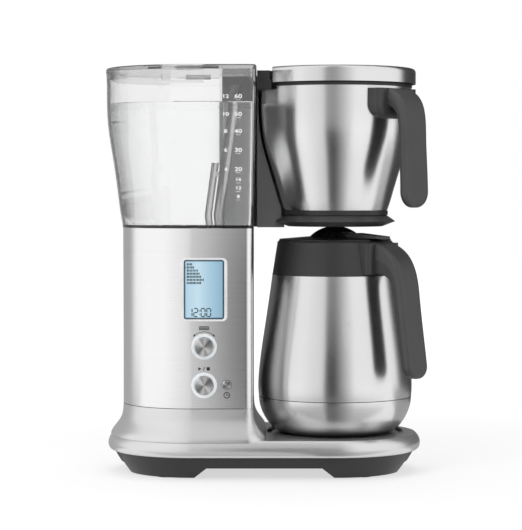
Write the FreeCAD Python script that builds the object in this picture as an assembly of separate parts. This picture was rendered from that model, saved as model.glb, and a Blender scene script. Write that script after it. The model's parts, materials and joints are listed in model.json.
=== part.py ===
import FreeCAD, Part
import math
import os

# Drip coffee maker with a thermal carafe, a clear water tank and a swing-up brew lid.
# Millimetres, +X right, +Y to the back, +Z up, origin on the counter under the middle of the base.

# Overall plan
BASE_LENGTH = 311.5
BASE_DEPTH = 170.0
TOTAL_HEIGHT = 400.0
AXIS_SPACING = 141.5
TOWER_X = -AXIS_SPACING / 2
BREW_X = AXIS_SPACING / 2
BODY_REACH = 69.75
BODY_RIGHT_REACH = 60.25
BODY_RIGHT = TOWER_X + BODY_RIGHT_REACH
BODY_CORNER = 8.0

# Levels, from the counter up
PAD_HEIGHT = 3.5
LEG_GAP = 1.0
RECESS_CEILING = 11.0
PLINTH_TOP = 22.0
BASE_TOP = 38.5
SKIRT_TOP = 68.5
SLEEVE_TOP = 243.0
TANK_LID_THICK = 4.7
TANK_TOP = TOTAL_HEIGHT - TANK_LID_THICK
BREW_LID_HEIGHT = 15.3
LID_BOTTOM = TOTAL_HEIGHT - BREW_LID_HEIGHT
LID_CLEARANCE = 0.7
RIM_TOP = LID_BOTTOM - LID_CLEARANCE
RIM_HEIGHT = 3.0
RIM_BOTTOM = RIM_TOP - RIM_HEIGHT

# Walls and clearances
SHEET = 1.0
CASE_WALL = 2.5
SKIRT_WALL = 3.0
TANK_WALL = 2.5
PLASTIC_WALL = 2.0
GAP = 0.3
RUN_GAP = 0.05

# Plinth, pads and their screws
PLINTH_FLOOR_INSET = 19.5
PLINTH_WAIST_INSET = 12.2
PLINTH_TOP_INSET = 6.0
RECESS_FLOOR_HALF = 68.0
RECESS_CEILING_HALF = 56.0
RECESS_SIDE_HALF = 25.0
PAD_RADIUS = 9.0
PAD_END_SETBACK = 59.75
PAD_X = BASE_LENGTH / 2 - PAD_END_SETBACK
PAD_SIDE_SETBACK = 39.0
PAD_Y = BASE_DEPTH / 2 - PAD_SIDE_SETBACK
SCREW_RADIUS = 1.5
SCREW_HEAD_RADIUS = 3.5
SCREW_HEAD_HEIGHT = 2.0
SCREW_REACH = 14.0
BOSS_RADIUS = 4.0
BASE_SCREW_LEFT_OFFSET = 66.75
BASE_SCREW_LEFT = TOWER_X + BASE_SCREW_LEFT_OFFSET
BASE_SCREW_RIGHT_OFFSET = -20.75
BASE_SCREW_RIGHT = BREW_X + BASE_SCREW_RIGHT_OFFSET
BASE_SCREW_SETBACK = 41.0
BASE_SCREW_Y = BASE_DEPTH / 2 - BASE_SCREW_SETBACK

# Base cover: insets of the rounded edge from the base outline
COVER_LOWER_INSET = 5.5
COVER_LOWER_ROUND = 3.0
COVER_WIDEST = 28.5
COVER_UPPER_INSET = 3.0
COVER_TOP_INSET = 5.0
SKIRT_FLARE = 12.6

# Carafe locating rail
RAIL_RADIUS = 65.5
RAIL_WIDTH = 5.0

# Front controls
CONTROL_OFFSET = 12.55
CONTROL_X = TOWER_X + CONTROL_OFFSET
DISPLAY_Z = 184.0
DISPLAY_WIDTH = 45.1
DISPLAY_HEIGHT = 61.2
DISPLAY_CORNER = 5.0
GLASS_WIDTH = 39.0
GLASS_HEIGHT = 57.4
BEZEL_PROUD = 0.8
GLASS_THICK = 1.2
DISPLAY_THICK = 3.0
SWITCH_DEPTH = 3.2
DIAL_Z = 128.8
START_Z = 91.4
RING_RADIUS = 12.45
KNOB_RADIUS = 9.0
DIAL_PROUD = 7.5
START_PROUD = 3.8
AUTO_OFFSET = 34.45
AUTO_X = TOWER_X + AUTO_OFFSET
AUTO_Z = 91.8
AUTO_RADIUS = 4.5
AUTO_PROUD = 2.2
STEM_RADIUS = 2.5
SHAFT_RADIUS = 3.0
START_TRAVEL = 1.5

# Control carrier and boards behind the front panel
CARRIER_OFFSET = 4.75
CARRIER_WALL = 2.5
BOARD_OFFSET = 4.5
BOARD_THICK = 1.6
CARRIER_LEFT_OFFSET = -9.25
CARRIER_LEFT = TOWER_X + CARRIER_LEFT_OFFSET
CARRIER_RIGHT_OFFSET = 46.75
CARRIER_RIGHT = TOWER_X + CARRIER_RIGHT_OFFSET
CARRIER_BOTTOM = 74.0
CARRIER_TOP = 222.0
POST_RADIUS = 3.0
CHIP_HALF = 7.0
CHIP_THICK = 1.5
CHIP_DROP = 17.0

# Rear panel and cord gland
PANEL_WIDTH = 48.0
PANEL_BOTTOM = 74.0
PANEL_TOP = 232.0
PANEL_THICK = 2.0
PANEL_OFFSET = 26.75
PANEL_X = TOWER_X + PANEL_OFFSET
VENT_COUNT = 9
VENT_PITCH = 8.0
VENT_HEIGHT = 3.0
VENT_LENGTH = 30.0
VENT_BOTTOM = 130.0
GLAND_Z = 96.0
GLAND_RADIUS = 8.0
GLAND_BORE = 4.0
GLAND_PROUD = 6.0

# Chassis, pump, heater and hoses inside the column
CHASSIS_Y = 30.0
CHASSIS_LEFT_OFFSET = -53.25
CHASSIS_LEFT = TOWER_X + CHASSIS_LEFT_OFFSET
CHASSIS_STEP_OFFSET = 18.75
CHASSIS_STEP_X = TOWER_X + CHASSIS_STEP_OFFSET
CHASSIS_RIGHT_OFFSET = 52.75
CHASSIS_RIGHT = TOWER_X + CHASSIS_RIGHT_OFFSET
CHASSIS_STEP_Z = 168.0
CHASSIS_FOOT_INSET = 20.0
DECK_THICK = 5.0
PUMP_OFFSET = -29.25
PUMP_X = TOWER_X + PUMP_OFFSET
PUMP_Y = -5.0
VOLUTE_RADIUS = 24.0
VOLUTE_HEIGHT = 16.0
MOTOR_RADIUS = 17.0
MOTOR_HEIGHT = 46.0
IMPELLER_RADIUS = 16.0
IMPELLER_HEIGHT = 8.0
ROTOR_SHAFT_RADIUS = 2.0
HOSE_RADIUS = 6.0
HOSE_BORE = 4.0
HOSE_BEND = 12.0
FEED_OFFSET = 12.75
FEED_X = TOWER_X + FEED_OFFSET
HEATER_OFFSET = 36.75
HEATER_X = TOWER_X + HEATER_OFFSET
HEATER_Y = 12.0
HEATER_RADIUS = 14.0
HEATER_BOTTOM = 60.0
HEATER_TOP = 150.0
METER_BOTTOM = 95.0
METER_TOP = 125.0
METER_RADIUS = 11.0
CROSSING_Z = 190.0
PIPE_RISE = 7.5
PUMP_HOSE_Y = -22.0
SPIGOT = 3.0
ROTOR_LENGTH = 30.0
BLADE_COUNT = 6
HEATER_GROOVES = 8
POWER_LEFT_OFFSET = -47.25
POWER_LEFT = TOWER_X + POWER_LEFT_OFFSET
POWER_RIGHT_OFFSET = -5.25
POWER_RIGHT = TOWER_X + POWER_RIGHT_OFFSET
POWER_BOTTOM = 120.0
POWER_TOP = 212.0
POWER_STANDOFF = 6.0
BOARD_PIN_INSET = 4.0
RELAY_SIZE = (16.0, 14.0, 22.0)
RELAY_PLACE = (6.0, 10.0)
COIL_SIZE = (16.0, 11.0, 20.0)
COIL_PLACE = (4.0, 14.0)
CAN_RADIUS = 6.0
CAN_LENGTH = 16.0
CAN_PLACE = (12.0, 20.0)
CLAMP_WIDTH = 12.0
CLAMP_HEIGHT = 8.0
CLAMP_INSET = 10.0

# Water tank: its flare, as (share of its height, share of the way from the lower to the upper reach)
TANK_FLARE = [(0.0, 0.0), (0.125, 0.186335), (0.31, 0.409938), (0.47, 0.63354), (0.585, 0.807453),
              (0.795, 0.962733), (1.0, 1.0)]
TANK_STEP = 0.25
TANK_BOTTOM_REACH = BODY_REACH + TANK_STEP
TANK_LID_REACH = 86.3
TANK_LID_OVERHANG = 0.2
TANK_TOP_REACH = TANK_LID_REACH - TANK_LID_OVERHANG
TANK_REACHES = [(share, TANK_BOTTOM_REACH + flare * (TANK_TOP_REACH - TANK_BOTTOM_REACH))
                for share, flare in TANK_FLARE]
TANK_RIGHT_BOTTOM_OFFSET = 60.35
TANK_RIGHT_BOTTOM = TOWER_X + TANK_RIGHT_BOTTOM_OFFSET
TANK_RIGHT_TOP_OFFSET = 63.15
TANK_RIGHT_TOP = TOWER_X + TANK_RIGHT_TOP_OFFSET
TANK_CORNER = 7.0
TANK_FLOOR = 3.0
TANK_LID_SKIRT = 7.5
TANK_HINGE_OFFSET = 2.75
TANK_HINGE_X = TOWER_X + TANK_HINGE_OFFSET
TANK_HINGE_HALF = 13.0
TANK_HINGE_INSET = 5.6
TANK_HINGE_Y = TANK_TOP_REACH - TANK_HINGE_INSET
TANK_HINGE_DROP = 3.2
TANK_HINGE_Z = TOTAL_HEIGHT - TANK_HINGE_DROP
TANK_PIN_RADIUS = 1.5
TANK_PIN_GRIP = 9.0
TANK_RAIL_DROP = 2.0
RAIL_TOP = TOTAL_HEIGHT - TANK_RAIL_DROP
LID_ROUND = 2.0
SKIRT_GAP = 0.8
SCOOP_OFFSET = -7.75
SCOOP_X = TOWER_X + SCOOP_OFFSET
SCOOP_HALF = 20.5
SCOOP_DEPTH = 13.0
SCOOP_BACK = -46.0
STRAINER_RADIUS = 8.0
STRAINER_HEIGHT = 8.0
STRAINER_SLOTS = 8
RISER_OFFSET = 23.75
RISER_X = TOWER_X + RISER_OFFSET
RISER_Y = 8.0
RISER_LEAN = 0.129
RISER_RADIUS = 5.0
RISER_DROP = 14.0
RISER_TOP = TOTAL_HEIGHT - RISER_DROP
PROBE_OFFSET = 13.75
PROBE_X = TOWER_X + PROBE_OFFSET
PROBE_RADIUS = 3.5
PROBE_HEIGHT = 64.0
PROBE_TOP = SLEEVE_TOP + TANK_FLOOR + PROBE_HEIGHT
CLIP_DROP = 14.0

# Spine and arm between tank and basket
SPINE_LEFT_OFFSET = 28.75
SPINE_LEFT = TOWER_X + SPINE_LEFT_OFFSET
SPINE_RIGHT_OFFSET = 63.75
SPINE_RIGHT = TOWER_X + SPINE_RIGHT_OFFSET
SPINE_FRONT = 24.0
SPINE_DROP = 5.5
SPINE_TOP = TOTAL_HEIGHT - SPINE_DROP
ARM_FRONT = -8.0
ARM_REAR_INSET = 1.6
ARM_REAR = TANK_TOP_REACH - ARM_REAR_INSET
ARM_RIGHT_OFFSET = -50.75
ARM_RIGHT = BREW_X + ARM_RIGHT_OFFSET
ARM_DROP = 22.3
ARM_TOP = TOTAL_HEIGHT - ARM_DROP
ARM_GAP = 2.0
COVER_THICK = 2.5

# Brew basket: half widths at shares of its height
BASKET_FLOOR = 257.0
RIM_SEAT = 1.0
BASKET_TOP = RIM_BOTTOM + RIM_SEAT
BASKET_SHAPE = [(50.6, 0.0), (54.0, 0.072), (58.0, 0.18), (64.0, 0.34), (69.4, 0.488), (73.4, 0.64),
                (74.7, 0.768), (75.4, 1.0)]
BASKET_RADII = [(radius, BASKET_FLOOR + share * (BASKET_TOP - BASKET_FLOOR))
                for radius, share in BASKET_SHAPE]
BASKET_SHEET = 1.0
RIM_PROUD = 0.8
BASE_RING_RADIUS = 52.5
BASE_RING_CATCH = 2.5
BASE_RING_TOP = BASKET_FLOOR + BASE_RING_CATCH
OUTLET_RADIUS = 6.0
FILTER_TOP_RADIUS = 71.0
FILTER_FLOOR_RADIUS = 46.0
FILTER_LIFT = 9.0
FILTER_FLOOR = BASKET_FLOOR + FILTER_LIFT
FILTER_DROP = 2.0
FILTER_TOP = RIM_BOTTOM - FILTER_DROP
FILTER_WALL = 1.0

# Drip plate under the basket, with its valve
PLATE_TIP_RADIUS = 60.0
PLATE_TOP_RADIUS = 51.5
PLATE_LOWER_RADIUS = 47.0
PLATE_TOP = 255.0
PLATE_TIP_Z = 249.0
PLATE_BOTTOM = 244.0
PLUNGER_RADIUS = 4.0
PLUNGER_FLANGE = 8.0
PLUNGER_TRAVEL = 3.0
PLUNGER_RIM = 1.2
DRIP_HOLES = 6

# Brew lid and its hinge
BREW_LID_RADIUS = 79.9
BREW_LID_EDGE = 4.0
BAND_SHEET = 1.0
LID_CUT_OFFSET = -62.75
LID_CUT_X = BREW_X + LID_CUT_OFFSET
LID_HINGE_OFFSET = -69.75
LID_HINGE_X = BREW_X + LID_HINGE_OFFSET
LID_HINGE_DROP = 8.0
LID_HINGE_Z = TOTAL_HEIGHT - LID_HINGE_DROP
LID_PIN_RADIUS = 1.5
KNUCKLE_RADIUS = 4.2
BRACKET_BOTTOM = ARM_TOP
BRACKET_HALF = 47.0
BRACKET_THICK = 9.7
BRACKET_SLAB_TOP = BRACKET_BOTTOM + BRACKET_THICK
FRONT_KNUCKLE = (-40.0, -24.0)
REAR_KNUCKLE = (2.0, 22.0)
REAR_EAR_END = 25.5
DUCT_Y = 38.0
DUCT_WIDTH = 12.0
DUCT_HEIGHT = 4.6
DUCT_TURN_OFFSET = -56.75
DUCT_TURN_X = BREW_X + DUCT_TURN_OFFSET
SHOWER_RADIUS = 34.0
SHOWER_HEIGHT = 6.0
GASKET_RADIUS = 71.0
GASKET_WIDTH = 3.5
GASKET_HEIGHT = 2.8
GASKET_TOP = LID_BOTTOM + GASKET_HEIGHT
BAND_INNER = 73.0
CAP_THICK = 2.6

# Carafe: half widths at set heights
CARAFE_FLOOR = BASE_TOP + GAP
CARAFE_RADII = [(76.0, 75.0), (76.7, 84.3), (76.1, 97.8), (74.1, 116.4), (70.7, 140.0), (66.6, 167.0),
                (62.6, 196.0)]
CUP_RADII = [(52.0, CARAFE_FLOOR), (62.4, 43.7), (69.1, 52.2), (73.3, 60.6), (76.0, 75.0)]
CARAFE_SHEET = 1.0
VACUUM_GAP = 5.0
COLLAR_BOTTOM = 196.0
COLLAR_TOP = 230.2
COLLAR_TOP_RADIUS = 57.4
NECK_RADIUS = 31.0
MOUTH_RADIUS = 29.2
SPOUT_REACH = 9.0
SPOUT_HALF = 16.0
SPOUT_ROOT = 45.0
SPOUT_FOOT_ROOT = 50.0
SPOUT_FOOT_LIFT = 8.0
DOME_RADIUS = 35.4
DOME_TOP = 243.5
DOME_CENTRE = 208.9
PLUG_RADIUS = 28.6
NECK_TOP = 205.0
PLUG_BOTTOM = 207.0
BRIM_INNER = 3.2
BRIM_EDGE = 0.8
BRIM_INSET = 1.8
LEVER_BOTTOM = 232.6
LEVER_THICK = 3.6
LEVER_RISE = 1.4
LEVER_TIP = 1.8
LEVER_WIDTH = 18.0
LEVER_REACH = 68.0
LEVER_PIVOT = 17.0
LEVER_PIN_RADIUS = 1.5

# Handles, both on the front right diagonal
HANDLE_TURN = -45.0
BASKET_HANDLE_WIDTH = 34.0
BASKET_ROOT_WIDTH = 58.0
CARAFE_HANDLE_WIDTH = 28.0
CARAFE_ROOT_WIDTH = 46.0
GRIP_SHARE = 0.55
HANDLE_FOOT_FLAT = 3.0
GRIP_ROUND = 4.4
CORE_ROUND = 3.0
ROOT_CORNER = 14.5
ROOT_ROUND = 7.0
BASKET_ROOT_REACH = 84.0
BASKET_ROOT_DROP = 22.0
BASKET_ROOT_HEIGHT = 29.0
BASKET_ROOT_TOP = TOTAL_HEIGHT - BASKET_ROOT_DROP
BASKET_ROOT_BOTTOM = BASKET_ROOT_TOP - BASKET_ROOT_HEIGHT
BASKET_SCREW_Y = 15.0
BASKET_SCREW_DROP = 14.0
BASKET_SCREW_Z = BASKET_ROOT_TOP - BASKET_SCREW_DROP
CARAFE_ROOT_REACH = 66.0
# Outer and inner lines of each grip, from the root down, as (distance from the brew axis, drop below the
# top of the machine or of the carafe's collar)
BASKET_GRIP_OUT = [(76.0, 21.5), (88.4, 24.0), (96.0, 28.6), (102.2, 37.4), (105.4, 50.0), (106.5, 71.5),
                   (107.8, 96.0), (109.0, 125.0), (109.0, 137.0)]
BASKET_GRIP_IN = [(76.0, 39.0), (85.0, 40.0), (91.0, 43.5), (95.0, 50.0), (97.0, 60.0), (97.8, 78.0),
                  (98.4, 98.0), (99.0, 125.0), (99.0, 137.0)]
CARAFE_GRIP_OUT = [(58.0, 1.2), (70.5, 3.2), (81.5, 8.7), (91.0, 18.2), (96.6, 29.2), (101.8, 56.2),
                   (106.0, 86.2), (110.6, 117.0), (112.4, 132.0)]
CARAFE_GRIP_IN = [(60.0, 31.2), (71.0, 32.2), (79.0, 34.7), (84.0, 39.2), (86.6, 45.2), (90.0, 62.2),
                  (93.8, 88.2), (98.4, 117.0), (100.4, 132.0)]

# Worked out from the sizes above
END_X = (BASE_LENGTH - BASE_DEPTH) / 2
FRONT_Y = -BODY_REACH
CARRIER_Y = FRONT_Y + SHEET + CARRIER_OFFSET
BOARD_Y = CARRIER_Y + CARRIER_WALL + BOARD_OFFSET
PLINTH_FLOOR = RECESS_CEILING + CASE_WALL
COVER_CEILING = BASE_TOP - CASE_WALL
TANK_BOTTOM = SLEEVE_TOP
PIPE_Z = PLINTH_FLOOR + PIPE_RISE
INLET_X = PUMP_X + VOLUTE_RADIUS + SPIGOT
OUTLET_X = INLET_X + 2 * SPIGOT
ROTOR_BOTTOM = PLINTH_FLOOR + CASE_WALL + 1
ROTOR_TOP = ROTOR_BOTTOM + ROTOR_LENGTH
POWER_BOARD_Y = CHASSIS_Y - POWER_STANDOFF - BOARD_THICK
DUCT_BOTTOM = BRACKET_SLAB_TOP
DUCT_TOP = DUCT_BOTTOM + DUCT_HEIGHT
LEVER_PIN_Z = LEVER_BOTTOM + LEVER_THICK / 2
UP = FreeCAD.Vector(0, 0, 1)


# Helpers

def at(x, y, z):
    """A point or direction."""
    return FreeCAD.Vector(x, y, z)


def box(x_range, y_range, z_range):
    """A block between two values on each axis."""
    low = at(x_range[0], y_range[0], z_range[0])
    return Part.makeBox(x_range[1] - x_range[0], y_range[1] - y_range[0], z_range[1] - z_range[0], low)


def post(x, y, radius, low, high):
    """A standing cylinder."""
    return Part.makeCylinder(radius, high - low, at(x, y, low))


def bar(start, direction, radius, length):
    """A cylinder from a point along a direction."""
    return Part.makeCylinder(radius, length, start, direction)


def smooth(points):
    """One smooth edge through the points."""
    curve = Part.BSplineCurve()
    curve.interpolate(points)
    return curve.toShape()


def outline(runs):
    """A closed wire through the runs: a single point is a corner, a list of points a smooth stretch."""
    stretches = [run if isinstance(run, list) else [run] for run in runs]
    edges = []
    for stretch, following in zip(stretches, stretches[1:] + stretches[:1]):
        if len(stretch) > 1:
            edges.append(smooth(stretch))
        if stretch[-1].distanceToPoint(following[0]) > 1e-6:
            edges.append(Part.makeLine(stretch[-1], following[0]))
    return Part.Wire(edges)


def turned(runs, axis_x=BREW_X, axis_y=0.0):
    """A solid of revolution about a standing axis, from runs of (radius, height)."""
    def place(pair):
        return at(axis_x + pair[0], axis_y, pair[1])
    placed = [[place(pair) for pair in run] if isinstance(run, list) else place(run) for run in runs]
    return Part.Face(outline(placed)).revolve(at(axis_x, axis_y, 0), UP, 360)


def inward(pairs, thickness):
    """The same half widths less a wall."""
    return [(radius - thickness, height) for radius, height in pairs]


def joined(solids):
    """One solid from several that touch or overlap."""
    whole = solids[0].multiFuse(solids[1:])
    return whole.removeSplitter()


def group(solids):
    """Separate solids kept in one piece list."""
    return Part.makeCompound(solids)


def base_plan(inset, z):
    """The long round-ended outline of the base, drawn in by an inset."""
    reach = BASE_DEPTH / 2 - inset
    left = Part.Arc(at(-END_X, reach, z), at(-END_X - reach, 0, z), at(-END_X, -reach, z)).toShape()
    right = Part.Arc(at(END_X, -reach, z), at(END_X + reach, 0, z), at(END_X, reach, z)).toShape()
    front = Part.makeLine(at(-END_X, -reach, z), at(END_X, -reach, z))
    back = Part.makeLine(at(END_X, reach, z), at(-END_X, reach, z))
    return Part.Wire([left, front, right, back])


def tower_plan(reach, right, corner, z):
    """The D outline of the column: a half circle, flat front and back, and a rounded right side."""
    middle = TOWER_X - reach
    bend = corner * (1 - math.sqrt(0.5))
    return Part.Wire([
        Part.Arc(at(TOWER_X, reach, z), at(middle, 0, z), at(TOWER_X, -reach, z)).toShape(),
        Part.makeLine(at(TOWER_X, -reach, z), at(right - corner, -reach, z)),
        Part.Arc(at(right - corner, -reach, z), at(right - bend, bend - reach, z),
                 at(right, corner - reach, z)).toShape(),
        Part.makeLine(at(right, corner - reach, z), at(right, reach - corner, z)),
        Part.Arc(at(right, reach - corner, z), at(right - bend, reach - bend, z),
                 at(right - corner, reach, z)).toShape(),
        Part.makeLine(at(right - corner, reach, z), at(TOWER_X, reach, z))])


def tower_block(offset, low, high):
    """A solid with the column's outline, grown or drawn in by an offset."""
    corner = max(BODY_CORNER + offset, 1.0)
    plan = tower_plan(BODY_REACH + offset, BODY_RIGHT + offset, corner, low)
    return Part.Face(plan).extrude(at(0, 0, high - low))


def rounded_panel(centre_x, centre_z, width, height, corner, y_range):
    """A block with rounded corners that faces the front."""
    block = box((centre_x - width / 2, centre_x + width / 2), y_range,
                (centre_z - height / 2, centre_z + height / 2))
    along = [edge for edge in block.Edges if abs(edge.tangentAt(edge.FirstParameter).y) > 0.9]
    return block.makeFillet(corner, along)


def facing_disc(x, z, radius, y_range):
    """A cylinder whose axis runs front to back."""
    return bar(at(x, y_range[0], z), at(0, 1, 0), radius, y_range[1] - y_range[0])


def tube(path, outer, bore):
    """A hose of constant section along a wire that starts along the given edge."""
    start = path.Edges[0].valueAt(path.Edges[0].FirstParameter)
    heading = path.Edges[0].tangentAt(path.Edges[0].FirstParameter)
    rims = [Part.Wire(Part.makeCircle(radius, start, heading)) for radius in (outer, bore)]
    shells = [path.makePipeShell([rim], True, False) for rim in rims]
    return shells[0].cut(shells[1])


def bent_path(points, bend):
    """Straight runs joined by tangent arcs of one radius."""
    edges = []
    last = points[0]
    for before, corner, after in zip(points, points[1:], points[2:]):
        inbound = (corner - before).normalize()
        outbound = (after - corner).normalize()
        turn = inbound.getAngle(outbound)
        setback = bend * math.tan(turn / 2)
        enter = corner - inbound * setback
        leave = corner + outbound * setback
        towards = (outbound - inbound).normalize()
        middle = corner + towards * (bend / math.cos(turn / 2) - bend)
        edges.append(Part.makeLine(last, enter))
        edges.append(Part.Arc(enter, middle, leave).toShape())
        last = leave
    edges.append(Part.makeLine(last, points[-1]))
    return Part.Wire(edges)


def on_diagonal(shape):
    """Turns a piece drawn along +X from the brew axis on to the handles' diagonal."""
    placed = shape.copy()
    placed.rotate(at(0, 0, 0), UP, HANDLE_TURN)
    placed.translate(at(BREW_X, 0, 0))
    return placed


# Base

def base_plinth():
    """Dark base moulding: tapered outside, recesses that leave four legs, a tray inside."""
    waist = (LEG_GAP + PLINTH_TOP) / 2
    body = Part.makeLoft([base_plan(PLINTH_FLOOR_INSET, LEG_GAP), base_plan(PLINTH_WAIST_INSET, waist),
                          base_plan(PLINTH_TOP_INSET, PLINTH_TOP)], True)
    tray = Part.makeLoft([base_plan(PLINTH_WAIST_INSET + CASE_WALL, PLINTH_FLOOR),
                          base_plan(PLINTH_TOP_INSET + CASE_WALL, PLINTH_TOP)], True, True)
    ends = [(-RECESS_FLOOR_HALF, LEG_GAP), (-RECESS_CEILING_HALF, RECESS_CEILING),
            (RECESS_CEILING_HALF, RECESS_CEILING), (RECESS_FLOOR_HALF, LEG_GAP)]
    arch = Part.Face(outline([at(x, -BASE_DEPTH / 2, z) for x, z in ends])).extrude(at(0, BASE_DEPTH, 0))
    tunnel = box((-BASE_LENGTH / 2, BASE_LENGTH / 2), (-RECESS_SIDE_HALF, RECESS_SIDE_HALF),
                 (LEG_GAP, RECESS_CEILING))
    pockets = [post(x, y, PAD_RADIUS, LEG_GAP, PAD_HEIGHT) for x, y in pad_places()]
    holes = [post(x, y, SCREW_RADIUS + RUN_GAP, RECESS_CEILING, PLINTH_FLOOR) for x,
             y in base_screw_places()]
    return body.cut([tray, arch, tunnel] + pockets + holes)


def pad_places():
    """Where the four pads stand."""
    return [(x, y) for x in (-PAD_X, PAD_X) for y in (-PAD_Y, PAD_Y)]


def base_screw_places():
    """Where the cover is screwed to the plinth."""
    return [(x, y) for x in (BASE_SCREW_LEFT, BASE_SCREW_RIGHT) for y in (-BASE_SCREW_Y, BASE_SCREW_Y)]


def rubber_feet():
    """Four pads pressed into the legs."""
    return group([post(x, y, PAD_RADIUS, 0, PAD_HEIGHT) for x, y in pad_places()])


def base_cover():
    """Silver cover: rounded slab, flared skirt that rises into the column, open inside."""
    edge = [(COVER_LOWER_INSET, PLINTH_TOP), (0.8, PLINTH_TOP + COVER_LOWER_ROUND), (0.0, COVER_WIDEST),
            (COVER_UPPER_INSET, BASE_TOP - 2), (COVER_TOP_INSET, BASE_TOP)]
    slab = Part.makeLoft([base_plan(inset, z) for inset, z in edge], True)
    rise = SKIRT_TOP - BASE_TOP
    curve = [(1.0, -0.05), (0.95, 0.05), (0.68, 0.22), (0.38, 0.385), (0.16, 0.55), (0.05, 0.72),
             (0.0, 1.0)]
    skirt = Part.makeLoft([skirt_plan(share * SKIRT_FLARE, BASE_TOP + up * rise) for share,
                           up in curve], True)
    hollow = Part.makeLoft([base_plan(COVER_LOWER_INSET + CASE_WALL, PLINTH_TOP),
                            base_plan(COVER_LOWER_INSET + CASE_WALL, COVER_CEILING)], True, True)
    shaft = tower_block(-SKIRT_WALL, COVER_CEILING - 1, SKIRT_TOP)
    shell = slab.fuse(skirt).cut([hollow, shaft])
    bosses = [post(x, y, BOSS_RADIUS, PLINTH_FLOOR, COVER_CEILING + 1) for x, y in base_screw_places()]
    pilots = [post(x, y, SCREW_RADIUS, PLINTH_FLOOR, PLINTH_FLOOR + SCREW_REACH) for x,
              y in base_screw_places()]
    return joined([shell] + bosses).cut(pilots)


def skirt_plan(flare, z):
    """The column's outline, flared."""
    return tower_plan(BODY_REACH + flare, BODY_RIGHT + flare, BODY_CORNER + flare, z)


def carafe_rail():
    """Low half-round horseshoe bead behind the carafe's place, open to the front."""
    half = RAIL_WIDTH / 2
    middle = at(BREW_X + RAIL_RADIUS, 0, BASE_TOP)
    section = Part.Wire([Part.Arc(middle - at(half, 0, 0), middle + at(0, 0, half),
                                  middle + at(half, 0, 0)).toShape(),
                         Part.makeLine(middle + at(half, 0, 0), middle - at(half, 0, 0))])
    bow = Part.Face(section).revolve(at(BREW_X, 0, 0), UP, 180)
    tips = [Part.makeSphere(half, at(BREW_X + side * RAIL_RADIUS, 0, BASE_TOP), UP, 0, 90,
                            360) for side in (-1, 1)]
    return joined([bow] + tips)


# Column

def column_sleeve():
    """Brushed steel sleeve with openings for the controls in front and the panel behind."""
    sheet = tower_block(0, SKIRT_TOP, SLEEVE_TOP).cut(tower_block(-SHEET, SKIRT_TOP, SLEEVE_TOP))
    through = (FRONT_Y - 1, FRONT_Y + SHEET + 1)
    front = [bezel_neck(through, RUN_GAP),
             facing_disc(CONTROL_X, DIAL_Z, RING_RADIUS + RUN_GAP, through),
             facing_disc(CONTROL_X, START_Z, RING_RADIUS + RUN_GAP, through),
             facing_disc(AUTO_X, AUTO_Z, AUTO_RADIUS + GAP, through)]
    behind = (BODY_REACH - SHEET - 1, BODY_REACH + 1)
    margin = PANEL_WIDTH / 8
    window = box((PANEL_X - PANEL_WIDTH / 2 + margin, PANEL_X + PANEL_WIDTH / 2 - margin), behind,
                 (PANEL_BOTTOM + 2 * margin, PANEL_TOP - 2 * margin))
    holes = [facing_disc(x, z, SCREW_RADIUS, behind) for x, z in panel_screw_places()]
    return sheet.cut(front + [window] + holes)


def panel_screw_places():
    """Where the rear panel is screwed on."""
    inset = SCREW_HEAD_RADIUS + 1.5
    return [(PANEL_X + side * (PANEL_WIDTH / 2 - inset), z) for side in (-1, 1)
            for z in (PANEL_BOTTOM + inset, PANEL_TOP - inset)]


def rear_panel():
    """Flat service panel with vent slots and the cord's opening."""
    face = (BODY_REACH, BODY_REACH + PANEL_THICK)
    plate = rounded_panel(PANEL_X, (PANEL_BOTTOM + PANEL_TOP) / 2, PANEL_WIDTH,
                          PANEL_TOP - PANEL_BOTTOM, 4.0, face)
    slots = [box((PANEL_X - VENT_LENGTH / 2, PANEL_X + VENT_LENGTH / 2), face,
                 (VENT_BOTTOM + step * VENT_PITCH, VENT_BOTTOM + step * VENT_PITCH + VENT_HEIGHT))
             for step in range(VENT_COUNT)]
    holes = [facing_disc(x, z, SCREW_RADIUS, face) for x, z in panel_screw_places()]
    return plate.cut(slots + holes + [facing_disc(PANEL_X, GLAND_Z, GLAND_RADIUS, face)])


def cord_gland():
    """Round bush that a lead would come out of."""
    inside = BODY_REACH - SHEET
    outside = BODY_REACH + PANEL_THICK + GLAND_PROUD
    neck = facing_disc(PANEL_X, GLAND_Z, GLAND_RADIUS, (inside, outside - 2))
    flange = facing_disc(PANEL_X, GLAND_Z, GLAND_RADIUS + 2, (BODY_REACH + PANEL_THICK, outside - 3))
    nose = Part.makeCone(GLAND_RADIUS, GLAND_RADIUS - 1.5, 2, at(PANEL_X, outside - 2, GLAND_Z),
                         at(0, 1, 0))
    return joined([neck, flange, nose]).cut(facing_disc(PANEL_X, GLAND_Z, GLAND_BORE, (inside, outside)))


def screw(foot, direction):
    """A pan-head screw: the point lies under the head, the direction runs down the shank."""
    head = bar(foot, direction * -1, SCREW_HEAD_RADIUS, SCREW_HEAD_HEIGHT)
    rim = [edge for edge in head.Edges if abs((edge.CenterOfMass - foot).Length - SCREW_HEAD_HEIGHT) < 1e-6]
    shank = bar(foot, direction, SCREW_RADIUS, SCREW_REACH)
    cross = []
    side = direction.cross(UP) if abs(direction.z) < 0.5 else at(1, 0, 0)
    for across in (side, direction.cross(side)):
        start = foot - direction * SCREW_HEAD_HEIGHT - across * SCREW_HEAD_RADIUS * 0.6
        cross.append(bar(start, across, 0.5, SCREW_HEAD_RADIUS * 1.2))
    return head.makeFillet(SCREW_HEAD_HEIGHT * 0.4, rim).fuse(shank).cut(cross)


def case_screws():
    """The screws of the base cover and of the rear panel."""
    under = [screw(at(x, y, RECESS_CEILING), at(0, 0, 1)) for x, y in base_screw_places()]
    rear = [screw(at(x, BODY_REACH + PANEL_THICK, z), at(0, -1, 0)) for x, z in panel_screw_places()]
    return group(under + rear)


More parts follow.
